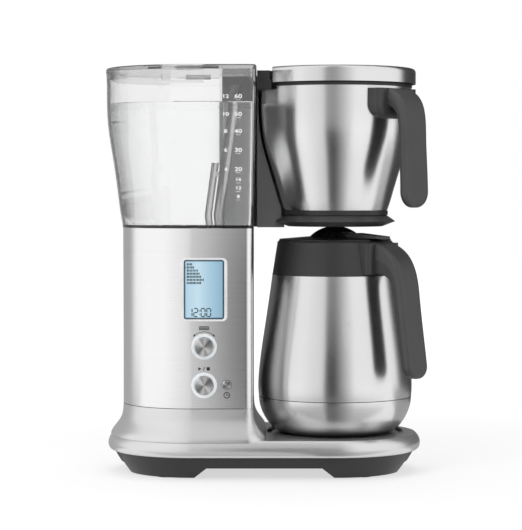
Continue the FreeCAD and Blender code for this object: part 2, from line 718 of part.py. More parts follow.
def top_deck():
    """Plate that closes the column and carries the tank."""
    deck = tower_block(-SHEET, SLEEVE_TOP - DECK_THICK, SLEEVE_TOP)
    passes = [post(x, y, HOSE_RADIUS, SLEEVE_TOP - DECK_THICK, SLEEVE_TOP)
              for x, y in ((FEED_X, PUMP_Y), (HEATER_X, DUCT_Y))]
    return deck.cut(passes)


# Front controls

def bezel_neck(y_range, clearance):
    """The part of the display bezel that goes through the sleeve."""
    border = (DISPLAY_WIDTH - GLASS_WIDTH) / 4
    return rounded_panel(CONTROL_X, DISPLAY_Z, DISPLAY_WIDTH - 2 * border + 2 * clearance,
                         DISPLAY_HEIGHT - border + 2 * clearance, DISPLAY_CORNER - border, y_range)


def lcd_bezel():
    """Slim frame round the display; its back follows the sleeve's curve."""
    flange = rounded_panel(CONTROL_X, DISPLAY_Z, DISPLAY_WIDTH, DISPLAY_HEIGHT, DISPLAY_CORNER,
                           (FRONT_Y - BEZEL_PROUD, FRONT_Y + SHEET))
    flange = flange.cut(tower_block(0, SKIRT_TOP, SLEEVE_TOP))
    neck = bezel_neck((FRONT_Y - BEZEL_PROUD / 2, CARRIER_Y), 0)
    opening = rounded_panel(CONTROL_X, DISPLAY_Z, GLASS_WIDTH, GLASS_HEIGHT, DISPLAY_CORNER / 2,
                            (FRONT_Y - BEZEL_PROUD, CARRIER_Y))
    return joined([flange, neck]).cut(opening)


def lcd_window():
    """Clear front of the display."""
    front = FRONT_Y - BEZEL_PROUD / 2
    return rounded_panel(CONTROL_X, DISPLAY_Z, GLASS_WIDTH, GLASS_HEIGHT, DISPLAY_CORNER / 2,
                         (front, front + GLASS_THICK))


def lcd_panel():
    """Backlit display behind its window."""
    front = FRONT_Y - BEZEL_PROUD / 2 + GLASS_THICK
    return rounded_panel(CONTROL_X, DISPLAY_Z, GLASS_WIDTH, GLASS_HEIGHT, DISPLAY_CORNER / 2,
                         (front, front + DISPLAY_THICK))


def light_rings():
    """Light guides round the dial and the start button."""
    rings = []
    for z in (DIAL_Z, START_Z):
        ring = facing_disc(CONTROL_X, z, RING_RADIUS, (FRONT_Y - 1.0, CARRIER_Y))
        front_rim = [edge for edge in ring.Edges if abs(edge.CenterOfMass.y - (FRONT_Y - 1.0)) < 1e-6]
        ring = ring.makeFillet(0.6, front_rim)
        rings.append(ring.cut(facing_disc(CONTROL_X, z, KNOB_RADIUS + GAP, (FRONT_Y - 1.0, CARRIER_Y))))
    return group(rings)


def cap(x, z, radius, proud, back):
    """A round metal cap with a softened front edge."""
    disc = facing_disc(x, z, radius, (FRONT_Y - proud, back))
    front_rim = [edge for edge in disc.Edges if abs(edge.CenterOfMass.y - (FRONT_Y - proud)) < 1e-6]
    return disc.makeFillet(0.8, front_rim)


def select_dial():
    """Turning knob with its shaft."""
    back = CARRIER_Y - GAP - START_TRAVEL
    knob = cap(CONTROL_X, DIAL_Z, KNOB_RADIUS, DIAL_PROUD, back)
    shaft = facing_disc(CONTROL_X, DIAL_Z, SHAFT_RADIUS, (back, BOARD_Y - GAP))
    return joined([knob, shaft])


def push_button(x, z, radius, proud):
    """A pressing button with its guide stem."""
    back = CARRIER_Y - GAP - START_TRAVEL
    stem_end = BOARD_Y - SWITCH_DEPTH - GAP - START_TRAVEL
    return joined([cap(x, z, radius, proud, back), facing_disc(x, z, STEM_RADIUS, (back, stem_end))])


def start_button():
    """Start button."""
    return push_button(CONTROL_X, START_Z, KNOB_RADIUS, START_PROUD)


def auto_button():
    """Small timer button."""
    return push_button(AUTO_X, AUTO_Z, AUTO_RADIUS, AUTO_PROUD)


def control_carrier():
    """Plate behind the front panel that holds the display, the rings and the board."""
    plate = box((CARRIER_LEFT, CARRIER_RIGHT), (CARRIER_Y, CARRIER_Y + CARRIER_WALL),
                (CARRIER_BOTTOM, CARRIER_TOP))
    posts = []
    for x, z in carrier_corners():
        posts.append(facing_disc(x, z, POST_RADIUS, (FRONT_Y - 1, CARRIER_Y)))
        posts.append(facing_disc(x, z, POST_RADIUS, (CARRIER_Y + CARRIER_WALL, BOARD_Y)))
    frame = joined([plate] + posts).common(tower_block(-SHEET, SKIRT_TOP, SLEEVE_TOP))
    through = (CARRIER_Y, CARRIER_Y + CARRIER_WALL)
    guides = [facing_disc(CONTROL_X, DIAL_Z, SHAFT_RADIUS + RUN_GAP, through),
              facing_disc(CONTROL_X, START_Z, STEM_RADIUS + RUN_GAP, through),
              facing_disc(AUTO_X, AUTO_Z, STEM_RADIUS + RUN_GAP, through)]
    return frame.cut(guides)


def carrier_corners():
    """Where the carrier stands off the sleeve and holds the board."""
    inset = POST_RADIUS + 1
    return [(x, z) for x in (CARRIER_LEFT + inset, CARRIER_RIGHT - inset)
            for z in (CARRIER_BOTTOM + inset, CARRIER_TOP - inset)]


def control_board():
    """Board that carries the encoder and the switches."""
    board = box((CARRIER_LEFT + 1, CARRIER_RIGHT - 1), (BOARD_Y, BOARD_Y + BOARD_THICK),
                (CARRIER_BOTTOM + 1, CARRIER_TOP - 1))
    chip_z = DISPLAY_Z - CHIP_DROP
    chip = box((CONTROL_X - CHIP_HALF, CONTROL_X + CHIP_HALF),
               (BOARD_Y + BOARD_THICK, BOARD_Y + BOARD_THICK + CHIP_THICK),
               (chip_z - CHIP_HALF, chip_z + CHIP_HALF))
    return joined([board, chip])


def rotary_encoder():
    """Encoder that the dial's shaft turns in."""
    half = 2 * SHAFT_RADIUS
    body = box((CONTROL_X - half, CONTROL_X + half), (CARRIER_Y + CARRIER_WALL, BOARD_Y),
               (DIAL_Z - half, DIAL_Z + half))
    return body.cut(facing_disc(CONTROL_X, DIAL_Z, SHAFT_RADIUS + RUN_GAP, (CARRIER_Y, BOARD_Y)))


def button_switches():
    """The two small switches that the buttons press."""
    return group([box((x - 3, x + 3), (BOARD_Y - SWITCH_DEPTH, BOARD_Y), (z - 3, z + 3))
                  for x, z in ((CONTROL_X, START_Z), (AUTO_X, AUTO_Z))])


# Works inside the column

def chassis():
    """Upright plate on the plinth that carries the power board and the heater."""
    deck = SLEEVE_TOP - DECK_THICK
    foot = CHASSIS_LEFT + CHASSIS_FOOT_INSET
    corners = [(foot, PLINTH_FLOOR), (CHASSIS_RIGHT, PLINTH_FLOOR), (CHASSIS_RIGHT, CHASSIS_STEP_Z),
               (CHASSIS_STEP_X, CHASSIS_STEP_Z), (CHASSIS_STEP_X, deck), (CHASSIS_LEFT, deck),
               (CHASSIS_LEFT, SKIRT_TOP), (foot, SKIRT_TOP)]
    plate = Part.Face(outline([at(x, CHASSIS_Y, z) for x, z in corners])).extrude(at(0, CASE_WALL, 0))
    pads = [box((HEATER_X - CLAMP_WIDTH / 2, HEATER_X + CLAMP_WIDTH / 2),
                (HEATER_Y + HEATER_RADIUS, CHASSIS_Y), (z, z + CLAMP_HEIGHT))
            for z in (HEATER_BOTTOM + CLAMP_INSET, HEATER_TOP - CLAMP_INSET - CLAMP_HEIGHT)]
    studs = [facing_disc(x, z, POST_RADIUS, (POWER_BOARD_Y + BOARD_THICK, CHASSIS_Y)) for x,
             z in power_corners()]
    return joined([plate] + pads + studs)


def power_corners():
    """Where the power board is held."""
    return [(x, z) for x in (POWER_LEFT + BOARD_PIN_INSET, POWER_RIGHT - BOARD_PIN_INSET)
            for z in (POWER_BOTTOM + BOARD_PIN_INSET, POWER_TOP - BOARD_PIN_INSET)]


def power_board():
    """Mains board with its larger parts."""
    face = POWER_BOARD_Y
    board = box((POWER_LEFT, POWER_RIGHT), (face, face + BOARD_THICK), (POWER_BOTTOM, POWER_TOP))
    relay_left, relay_low = POWER_LEFT + RELAY_PLACE[0], POWER_BOTTOM + RELAY_PLACE[1]
    relay = box((relay_left, relay_left + RELAY_SIZE[0]), (face - RELAY_SIZE[1], face),
                (relay_low, relay_low + RELAY_SIZE[2]))
    coil_right, coil_top = POWER_RIGHT - COIL_PLACE[0], POWER_TOP - COIL_PLACE[1]
    coil = box((coil_right - COIL_SIZE[0], coil_right), (face - COIL_SIZE[1], face),
               (coil_top - COIL_SIZE[2], coil_top))
    can = bar(at(POWER_RIGHT - CAN_PLACE[0], face, POWER_BOTTOM + CAN_PLACE[1]), at(0, -1, 0), CAN_RADIUS,
              CAN_LENGTH)
    return joined([board, relay, coil, can])


def pump_housing():
    """Pump: flat volute with two spigots under a round motor, hollow for the rotor."""
    volute_top = PLINTH_FLOOR + VOLUTE_HEIGHT
    volute = post(PUMP_X, PUMP_Y, VOLUTE_RADIUS, PLINTH_FLOOR, volute_top)
    motor = post(PUMP_X, PUMP_Y, MOTOR_RADIUS, volute_top, volute_top + MOTOR_HEIGHT)
    inlet = bar(at(PUMP_X, PUMP_Y, PIPE_Z), at(1, 0, 0), HOSE_RADIUS, INLET_X - PUMP_X)
    outlet = bar(at(PUMP_X, PUMP_HOSE_Y, PIPE_Z), at(1, 0, 0), HOSE_RADIUS, OUTLET_X - PUMP_X)
    chamber = post(PUMP_X, PUMP_Y, IMPELLER_RADIUS + 1, ROTOR_BOTTOM - 1,
                   ROTOR_BOTTOM + IMPELLER_HEIGHT + 1)
    bearing = post(PUMP_X, PUMP_Y, ROTOR_SHAFT_RADIUS + RUN_GAP, ROTOR_BOTTOM, ROTOR_TOP + GAP)
    bores = [bar(at(PUMP_X, PUMP_Y, PIPE_Z), at(1, 0, 0), HOSE_BORE, INLET_X - PUMP_X),
             bar(at(PUMP_X, PUMP_HOSE_Y, PIPE_Z), at(1, 0, 0), HOSE_BORE, OUTLET_X - PUMP_X)]
    return joined([volute, motor, inlet, outlet]).cut([chamber, bearing] + bores)


def pump_rotor():
    """Impeller with its shaft."""
    top = ROTOR_BOTTOM + IMPELLER_HEIGHT
    hub = post(PUMP_X, PUMP_Y, IMPELLER_RADIUS / 3, ROTOR_BOTTOM, top)
    shaft = post(PUMP_X, PUMP_Y, ROTOR_SHAFT_RADIUS, top - 1, ROTOR_TOP)
    blades = []
    for step in range(BLADE_COUNT):
        blade = box((PUMP_X, PUMP_X + IMPELLER_RADIUS), (PUMP_Y - 0.8, PUMP_Y + 0.8), (ROTOR_BOTTOM, top))
        blade.rotate(at(PUMP_X, PUMP_Y, 0), UP, 360 / BLADE_COUNT * step)
        blades.append(blade)
    wheel = joined([hub, shaft] + blades)
    return wheel.common(post(PUMP_X, PUMP_Y, IMPELLER_RADIUS, ROTOR_BOTTOM, ROTOR_TOP))


def flow_meter():
    """Meter in the feed from the tank."""
    body = post(FEED_X, PUMP_Y, METER_RADIUS, METER_BOTTOM, METER_TOP)
    plug = box((FEED_X - 5, FEED_X + 5), (PUMP_Y - METER_RADIUS - 4, PUMP_Y),
               (METER_BOTTOM + 8, METER_TOP - 8))
    return joined([body, plug]).cut(post(FEED_X, PUMP_Y, HOSE_BORE, METER_BOTTOM, METER_TOP))


def heater():
    """Flow heater: a thick body with a water bore and cooling ribs."""
    body = post(HEATER_X, HEATER_Y, HEATER_RADIUS, HEATER_BOTTOM, HEATER_TOP)
    span = HEATER_TOP - HEATER_BOTTOM
    grooves = []
    for step in range(HEATER_GROOVES):
        low = HEATER_BOTTOM + span * (0.3 + 0.4 * step / HEATER_GROOVES)
        ring = post(HEATER_X, HEATER_Y, HEATER_RADIUS, low, low + 2)
        grooves.append(ring.cut(post(HEATER_X, HEATER_Y, HEATER_RADIUS - 2, low, low + 2)))
    return body.cut(grooves + [post(HEATER_X, HEATER_Y, HOSE_BORE, HEATER_BOTTOM, HEATER_TOP)])


def water_hoses():
    """Tank to pump, broken by the meter; pump to heater; heater to shower."""
    feed = tube(bent_path([at(FEED_X, PUMP_Y, SLEEVE_TOP), at(FEED_X, PUMP_Y, PIPE_Z),
                           at(INLET_X, PUMP_Y, PIPE_Z)], HOSE_BEND), HOSE_RADIUS, HOSE_BORE)
    feed = feed.cut(post(FEED_X, PUMP_Y, METER_RADIUS, METER_BOTTOM, METER_TOP))
    link = tube(bent_path([at(OUTLET_X, PUMP_HOSE_Y, PIPE_Z), at(HEATER_X, PUMP_HOSE_Y, PIPE_Z),
                           at(HEATER_X, HEATER_Y, PIPE_Z), at(HEATER_X, HEATER_Y, HEATER_BOTTOM)],
                          HOSE_BEND),
                HOSE_RADIUS, HOSE_BORE)
    rise = tube(bent_path([at(HEATER_X, HEATER_Y, HEATER_TOP), at(HEATER_X, HEATER_Y, CROSSING_Z),
                           at(HEATER_X, DUCT_Y, CROSSING_Z), at(HEATER_X, DUCT_Y, DUCT_BOTTOM)],
                          HOSE_BEND),
                HOSE_RADIUS, HOSE_BORE)
    return group(feed.Solids + [link, rise])


# Water tank and its lid

def tank_block(inset):
    """The tank's flaring D shape, drawn in by a wall."""
    sections = []
    for share, reach in TANK_REACHES:
        right = TANK_RIGHT_BOTTOM + (TANK_RIGHT_TOP - TANK_RIGHT_BOTTOM) * share
        z = TANK_BOTTOM + (TANK_TOP - TANK_BOTTOM) * share
        sections.append(tower_plan(reach - inset, right - inset, TANK_CORNER - inset, z))
    return Part.makeLoft(sections, True)


def spine_notch(wall):
    """Space at the tank's rear right corner for the spine."""
    margin = GAP + wall
    return box((SPINE_LEFT - margin, 0), (SPINE_FRONT - margin, BASE_DEPTH), (TANK_BOTTOM, TANK_TOP))


def lid_prism(reach, right, low, high):
    """A flat D-shaped plate in the tank's outline."""
    return Part.Face(tower_plan(reach, right, TANK_CORNER, low)).extrude(at(0, 0, high - low))


def water_tank():
    """Clear tank with a notch for the spine and a hinge rail along the back."""
    floor = box((-BASE_LENGTH, 0), (-BASE_DEPTH, BASE_DEPTH), (TANK_BOTTOM, TANK_BOTTOM + TANK_FLOOR))
    room = tank_block(TANK_WALL).cut([floor, spine_notch(TANK_WALL)])
    shell = tank_block(0).cut(spine_notch(0)).cut(room)
    reach = TANK_REACHES[-1][1]
    rail = lid_prism(reach, TANK_RIGHT_TOP, TANK_TOP - TANK_LID_SKIRT, RAIL_TOP)
    rail = rail.common(box((-BASE_LENGTH, SPINE_LEFT - GAP), (TANK_HINGE_Y - 3.5, BASE_DEPTH),
                           (0, TOTAL_HEIGHT)))
    gap = box((TANK_HINGE_X - TANK_HINGE_HALF, TANK_HINGE_X + TANK_HINGE_HALF),
              (TANK_HINGE_Y - 4.5, BASE_DEPTH),
              (TANK_HINGE_Z - 2 * TANK_PIN_RADIUS - 1.2, TOTAL_HEIGHT))
    outlet = post(FEED_X, PUMP_Y, HOSE_BORE, TANK_BOTTOM, TANK_BOTTOM + TANK_FLOOR)
    return joined([shell, rail]).cut([gap, outlet, tank_pin()])


def tank_pin():
    """Hinge pin of the tank lid."""
    length = 2 * TANK_HINGE_HALF + 2 * TANK_PIN_GRIP
    return bar(at(TANK_HINGE_X - length / 2, TANK_HINGE_Y, TANK_HINGE_Z), at(1, 0, 0), TANK_PIN_RADIUS,
               length)


def tank_lid():
    """Clear lid: flat top, inner skirt, finger scoop and a hinge barrel."""
    bottom = TANK_TOP + GAP
    plate = lid_prism(TANK_LID_REACH, TANK_RIGHT_TOP, bottom, TOTAL_HEIGHT)
    top_edges = [edge for edge in plate.Edges if abs(edge.CenterOfMass.z - TOTAL_HEIGHT) < 1e-6]
    plate = plate.makeFillet(LID_ROUND, top_edges)
    reach = TANK_REACHES[-1][1] - TANK_WALL - SKIRT_GAP
    right = TANK_RIGHT_TOP - TANK_WALL - SKIRT_GAP
    skirt = lid_prism(reach, right, TANK_TOP - TANK_LID_SKIRT, bottom)
    skirt = skirt.cut(lid_prism(reach - PLASTIC_WALL, right - PLASTIC_WALL, TANK_TOP - TANK_LID_SKIRT,
                                bottom))
    skirt = skirt.cut(spine_notch(TANK_WALL + SKIRT_GAP))
    scoop = scoop_block(SCOOP_HALF, reach - 1, bottom - SCOOP_DEPTH, bottom + 1)
    hollow = scoop_block(SCOOP_HALF - PLASTIC_WALL, reach - 1 - PLASTIC_WALL,
                         bottom - SCOOP_DEPTH + PLASTIC_WALL,
                         TOTAL_HEIGHT)
    rear = box((-BASE_LENGTH, 0), (TANK_HINGE_Y - 4, BASE_DEPTH), (0, TOTAL_HEIGHT))
    cover = joined([plate, skirt, scoop]).cut([hollow, rear])
    half = TANK_HINGE_HALF - GAP
    start = at(TANK_HINGE_X - half, TANK_HINGE_Y, TANK_HINGE_Z)
    barrel = bar(start, at(1, 0, 0), 2 * TANK_PIN_RADIUS, 2 * half)
    web = box((TANK_HINGE_X - half, TANK_HINGE_X + half), (TANK_HINGE_Y - 6, TANK_HINGE_Y),
              (bottom, TANK_HINGE_Z + 2.5))
    return joined([cover, barrel, web]).cut(bar(start, at(1, 0, 0), TANK_PIN_RADIUS + RUN_GAP, 2 * half))


def scoop_block(half, reach, low, high):
    """Finger scoop in the lid's front edge."""
    zone = box((SCOOP_X - half, SCOOP_X + half), (-BASE_DEPTH, SCOOP_BACK - half), (low, high))
    return lid_prism(reach, TANK_RIGHT_TOP, low, high).common(zone)


def tank_strainer():
    """Slotted cup over the tank's outlet."""
    low = TANK_BOTTOM + TANK_FLOOR
    cup = turned([(STRAINER_RADIUS - 1, low), (STRAINER_RADIUS, low),
                  (STRAINER_RADIUS, low + STRAINER_HEIGHT),
                  (0, low + STRAINER_HEIGHT), (0, low + STRAINER_HEIGHT - 1),
                  (STRAINER_RADIUS - 1, low + STRAINER_HEIGHT - 1)], FEED_X, PUMP_Y)
    slots = []
    for step in range(STRAINER_SLOTS):
        slot = box((FEED_X, FEED_X + 2 * STRAINER_RADIUS), (PUMP_Y - 0.75, PUMP_Y + 0.75),
                   (low + 1.5, low + STRAINER_HEIGHT - 2))
        slot.rotate(at(FEED_X, PUMP_Y, 0), UP, 360 / STRAINER_SLOTS * step)
        slots.append(slot)
    return cup.cut(slots)


def slanted_rod(foot_x, lean, radius, high):
    """A leaning rod that stands on the tank's floor."""
    floor = TANK_BOTTOM + TANK_FLOOR
    direction = at(lean, 0, 1)
    start = at(foot_x, RISER_Y, floor) - direction * 10
    rod = bar(start, direction, radius, (high - floor + 20) * direction.Length)
    return rod.common(box((-BASE_LENGTH, 0), (-BASE_DEPTH, BASE_DEPTH), (floor, high)))


def riser_tube():
    """Leaning tube inside the tank."""
    return slanted_rod(RISER_X, RISER_LEAN, RISER_RADIUS, RISER_TOP)


def level_probe():
    """Short leaning probe beside the riser, held to it by a clip."""
    probe = slanted_rod(PROBE_X, RISER_LEAN, PROBE_RADIUS, PROBE_TOP)
    clip_z = PROBE_TOP - CLIP_DROP
    lean = RISER_LEAN * (clip_z - TANK_BOTTOM - TANK_FLOOR)
    clip = box((PROBE_X + lean, RISER_X + lean),
               (RISER_Y - PROBE_RADIUS + 0.5, RISER_Y + PROBE_RADIUS - 0.5),
               (clip_z, clip_z + 5))
    return joined([probe, clip]).cut(riser_tube())


# Arm between tank and basket

def basket_block(gap):
    """The basket's outside as a full solid, grown by a gap."""
    wall = [(radius + gap, z) for radius, z in BASKET_RADII]
    top = (wall[-1][0], TOTAL_HEIGHT)
    return turned([(0, wall[0][1]), wall, top, (0, TOTAL_HEIGHT)])


def arm_recess(gap):
    """What the arm has to leave free: the basket with its base ring, and the drip plate."""
    ring = post(BREW_X, 0, BASE_RING_RADIUS + gap, PLATE_TOP - 1, BASE_RING_TOP + gap)
    return [basket_block(gap), ring]


def plate_block(grow):
    """The whole drip plate as one solid."""
    return turned([(0, PLATE_BOTTOM - grow), (PLATE_LOWER_RADIUS, PLATE_BOTTOM - grow),
                   (PLATE_TIP_RADIUS + grow, PLATE_TIP_Z), (PLATE_TOP_RADIUS + grow, PLATE_TOP),
                   (0, PLATE_TOP)])


def arm_room():
    """The space inside the spine and the arm, open at the back."""
    wall = PLASTIC_WALL
    low = SLEEVE_TOP + wall
    spine = box((SPINE_LEFT + wall, SPINE_RIGHT - wall), (SPINE_FRONT + wall, ARM_REAR),
                (low, SPINE_TOP - wall))
    passage = box((SPINE_RIGHT - wall, SPINE_RIGHT + wall), (SPINE_FRONT + wall, ARM_REAR),
                  (low, ARM_TOP - wall))
    arm = box((SPINE_RIGHT + wall, ARM_RIGHT - wall), (ARM_FRONT + wall, ARM_REAR), (low, ARM_TOP - wall))
    collar = post(BREW_X, 0, PLATE_TIP_RADIUS + wall, SLEEVE_TOP, PLATE_TOP + wall)
    arm = joined([arm, passage]).cut(arm_recess(ARM_GAP + wall) + [collar])
    return joined([spine, arm])


def arm_housing():
    """Dark housing: spine behind the tank and the arm that holds the drip plate."""
    spine = box((SPINE_LEFT, SPINE_RIGHT), (SPINE_FRONT, ARM_REAR), (SLEEVE_TOP, SPINE_TOP))
    arm = box((SPINE_RIGHT, ARM_RIGHT), (ARM_FRONT, ARM_REAR), (SLEEVE_TOP, ARM_TOP))
    arm = arm.cut(arm_recess(ARM_GAP) + [plate_block(0)])
    hose_pass = post(HEATER_X, DUCT_Y, HOSE_RADIUS, SLEEVE_TOP, SLEEVE_TOP + PLASTIC_WALL)
    duct_pass = box((SPINE_RIGHT - PLASTIC_WALL, SPINE_RIGHT), duct_span(0), (DUCT_BOTTOM, DUCT_TOP))
    return joined([spine, arm]).cut([arm_room(), hose_pass, duct_pass])


def arm_rear_cover():
    """Cover set into the back of the housing."""
    back = box((-BASE_LENGTH, BASE_LENGTH), (ARM_REAR - COVER_THICK, ARM_REAR), (0, TOTAL_HEIGHT))
    return arm_room().common(back)


def duct_span(margin):
    """Where the shower arm lies from front to back."""
    return (DUCT_Y - DUCT_WIDTH / 2 - margin, DUCT_Y + DUCT_WIDTH / 2 + margin)


def shower_arm():
    """Flat duct from the spine to the shower head."""
    across = box((HEATER_X - HOSE_RADIUS, DUCT_TURN_X), duct_span(0), (DUCT_BOTTOM, DUCT_TOP))
    reach = math.hypot(BREW_X - DUCT_TURN_X, DUCT_Y)
    slant = box((0, reach), (-DUCT_WIDTH / 2, DUCT_WIDTH / 2), (DUCT_BOTTOM, DUCT_TOP))
    slant.rotate(at(0, 0, 0), UP, -math.degrees(math.atan2(DUCT_Y, BREW_X - DUCT_TURN_X)))
    slant.translate(at(DUCT_TURN_X, DUCT_Y, 0))
    bend = post(DUCT_TURN_X, DUCT_Y, DUCT_WIDTH / 2, DUCT_BOTTOM, DUCT_TOP)
    duct = joined([across, bend, slant]).cut(post(BREW_X, 0, SHOWER_RADIUS, DUCT_BOTTOM, DUCT_TOP))
    return duct.cut(post(HEATER_X, DUCT_Y, HOSE_BORE, DUCT_BOTTOM, (DUCT_BOTTOM + DUCT_TOP) / 2))


def shower_head():
    """Round head with drip holes over the filter."""
    low = DUCT_TOP - SHOWER_HEIGHT
    disc = post(BREW_X, 0, SHOWER_RADIUS, low, DUCT_TOP)
    rims = [edge for edge in disc.Edges if abs(edge.CenterOfMass.z - low) < 1e-6]
    disc = disc.makeFillet(SHOWER_HEIGHT / 4, rims)
    holes = []
    for ring, count in ((SHOWER_RADIUS * 0.3, 6), (SHOWER_RADIUS * 0.65, 12)):
        for step in range(count):
            turn = 2 * math.pi * step / count
            holes.append(post(BREW_X + ring * math.cos(turn), ring * math.sin(turn), 1.5, low,
                              DUCT_TOP - 2))
    return disc.cut(holes)


def hinge_bracket():
    """Black bracket on the spine that carries the brew lid's pin."""
    slab = box((SPINE_RIGHT, LID_CUT_X - 1), (-BRACKET_HALF, BRACKET_HALF),
               (BRACKET_BOTTOM, BRACKET_SLAB_TOP))
    slab = slab.cut(post(BREW_X, 0, BASKET_RADII[-1][0] + RIM_PROUD + ARM_GAP, BRACKET_BOTTOM,
                         LID_BOTTOM))
    ears = [box((SPINE_RIGHT, LID_HINGE_X + KNUCKLE_RADIUS), span,
                (BRACKET_SLAB_TOP, LID_HINGE_Z + KNUCKLE_RADIUS))
            for span in ear_spans()]
    return joined([slab] + ears).cut(brew_pin())


def ear_spans():
    """Bracket ears, in front of, between and behind the lid's two knuckles."""
    return [(-BRACKET_HALF, FRONT_KNUCKLE[0] - GAP), (FRONT_KNUCKLE[1] + GAP, REAR_KNUCKLE[0] - GAP),
            (REAR_KNUCKLE[1] + GAP, REAR_EAR_END)]


def brew_pin():
    """Hinge pin of the brew lid."""
    return bar(at(LID_HINGE_X, -BRACKET_HALF, LID_HINGE_Z), at(0, 1, 0), LID_PIN_RADIUS,
               BRACKET_HALF + REAR_EAR_END)


def hinge_pins():
    """The pins of both lids."""
    return group([tank_pin(), brew_pin()])


# Drip plate and valve

def drip_plate():
    """Upper half of the plate under the basket."""
    wall = CASE_WALL
    return turned([(OUTLET_RADIUS, PLATE_TOP), (PLATE_TOP_RADIUS, PLATE_TOP),
                   (PLATE_TIP_RADIUS, PLATE_TIP_Z),
                   (PLATE_TIP_RADIUS - 2 * wall, PLATE_TIP_Z),
                   (PLATE_TOP_RADIUS - wall / 2, PLATE_TOP - wall),
                   (OUTLET_RADIUS, PLATE_TOP - wall)])


def drip_plate_underside():
    """Lower half of the plate, with the valve's bore and the drip holes."""
    wall = CASE_WALL
    bore = PLUNGER_RADIUS + GAP
    half = turned([(bore, PLATE_BOTTOM), (PLATE_LOWER_RADIUS, PLATE_BOTTOM),
                   (PLATE_TIP_RADIUS, PLATE_TIP_Z),
                   (PLATE_TIP_RADIUS - 2 * wall, PLATE_TIP_Z),
                   (PLATE_LOWER_RADIUS - wall / 2, PLATE_BOTTOM + wall),
                   (bore, PLATE_BOTTOM + wall)])
    ring = PLUNGER_FLANGE * 1.6
    drips = []
    for step in range(DRIP_HOLES):
        turn = 2 * math.pi * step / DRIP_HOLES
        drips.append(post(BREW_X + ring * math.cos(turn), ring * math.sin(turn), 2.0, PLATE_BOTTOM,
                          PLATE_BOTTOM + wall))
    return half.cut(drips)


def valve_plunger():
    """Plunger that the carafe's lid holds up."""
    tip = DOME_TOP + GAP
    low = PLATE_BOTTOM + CASE_WALL + PLUNGER_TRAVEL + GAP
    high = low + PLUNGER_RIM
    return turned([(0, tip), (PLUNGER_RADIUS, tip), (PLUNGER_RADIUS, low), (PLUNGER_FLANGE, low),
                   (PLUNGER_FLANGE, high),
                   (PLUNGER_RADIUS - 1, high), (PLUNGER_RADIUS - 1, PLATE_TOP - 1), (0, PLATE_TOP - 1)])


def valve_spring():
    """Wave spring between the plunger's rim and the plate."""
    low = PLATE_BOTTOM + CASE_WALL + PLUNGER_TRAVEL + GAP + PLUNGER_RIM
    inner = PLUNGER_RADIUS
    outer = PLUNGER_FLANGE - GAP
    return turned([(inner, low), (outer, low), (outer, PLATE_TOP - CASE_WALL),
                   (inner, PLATE_TOP - CASE_WALL)])


# Brew lid

def lid_edge(radius, top, bend):
    """The rounded outer edge of the lid, from the side up on to the top."""
    slope = bend * (1 - math.sqrt(0.5))
    return [(radius, top - bend), (radius - slope, top - slope), (radius - bend, top)]


def lid_trim():
    """What is cut off the round lid: its hinge side and the slot for the shower arm."""
    side = box((-BASE_LENGTH, LID_CUT_X), (-BASE_DEPTH, BASE_DEPTH), (0, TOTAL_HEIGHT + 1))
    slot = box((0, DUCT_TURN_X + 2 * DUCT_WIDTH), duct_span(1.0), (0, DUCT_TOP + 1))
    return [side, slot]


def lid_band():
    """Steel band round the lid."""
    outer = lid_edge(BREW_LID_RADIUS, TOTAL_HEIGHT, BREW_LID_EDGE)
    inner = lid_edge(BREW_LID_RADIUS - BAND_SHEET, TOTAL_HEIGHT - BAND_SHEET, BREW_LID_EDGE - BAND_SHEET)
    band = turned([(BREW_LID_RADIUS, LID_BOTTOM), outer, (BAND_INNER, TOTAL_HEIGHT),
                   (BAND_INNER, TOTAL_HEIGHT - BAND_SHEET), inner[::-1],
                   (BREW_LID_RADIUS - BAND_SHEET, LID_BOTTOM)])
    return band.cut(lid_trim())


def lid_cap():
    """Dark inner lid: top, side wall, end wall, gasket rib and hinge knuckles."""
    radius = BREW_LID_RADIUS - BAND_SHEET
    top = TOTAL_HEIGHT - BAND_SHEET
    ceiling = top - CAP_THICK
    foot = LID_BOTTOM + 0.8
    edge = lid_edge(radius, top, BREW_LID_EDGE - BAND_SHEET)
    dish = turned([(radius - PLASTIC_WALL, foot), (radius, foot), edge, (BAND_INNER, top),
                   (BAND_INNER, TOTAL_HEIGHT - 0.4),
                   (0, TOTAL_HEIGHT - 0.4), (0, ceiling), (radius - PLASTIC_WALL, ceiling)])
    rib = turned([(GASKET_RADIUS, GASKET_TOP), (GASKET_RADIUS + GASKET_WIDTH, GASKET_TOP),
                  (GASKET_RADIUS + GASKET_WIDTH, ceiling), (GASKET_RADIUS, ceiling)])
    end = box((LID_CUT_X, LID_CUT_X + PLASTIC_WALL), (-BASE_DEPTH, BASE_DEPTH), (foot, ceiling))
    end = end.common(post(BREW_X, 0, radius, foot, ceiling))
    body = joined([dish, rib, end]).cut(lid_trim())
    knuckles = []
    for low, high in (FRONT_KNUCKLE, REAR_KNUCKLE):
        knuckles.append(bar(at(LID_HINGE_X, low, LID_HINGE_Z), at(0, 1, 0), KNUCKLE_RADIUS, high - low))
        knuckles.append(box((LID_HINGE_X, LID_CUT_X + 0.5), (low, high),
                            (LID_HINGE_Z - 2, LID_HINGE_Z + KNUCKLE_RADIUS)))
    bore = bar(at(LID_HINGE_X, -BRACKET_HALF, LID_HINGE_Z), at(0, 1, 0), LID_PIN_RADIUS + RUN_GAP,
               2 * BRACKET_HALF)
    return joined([body] + knuckles).cut(bore)


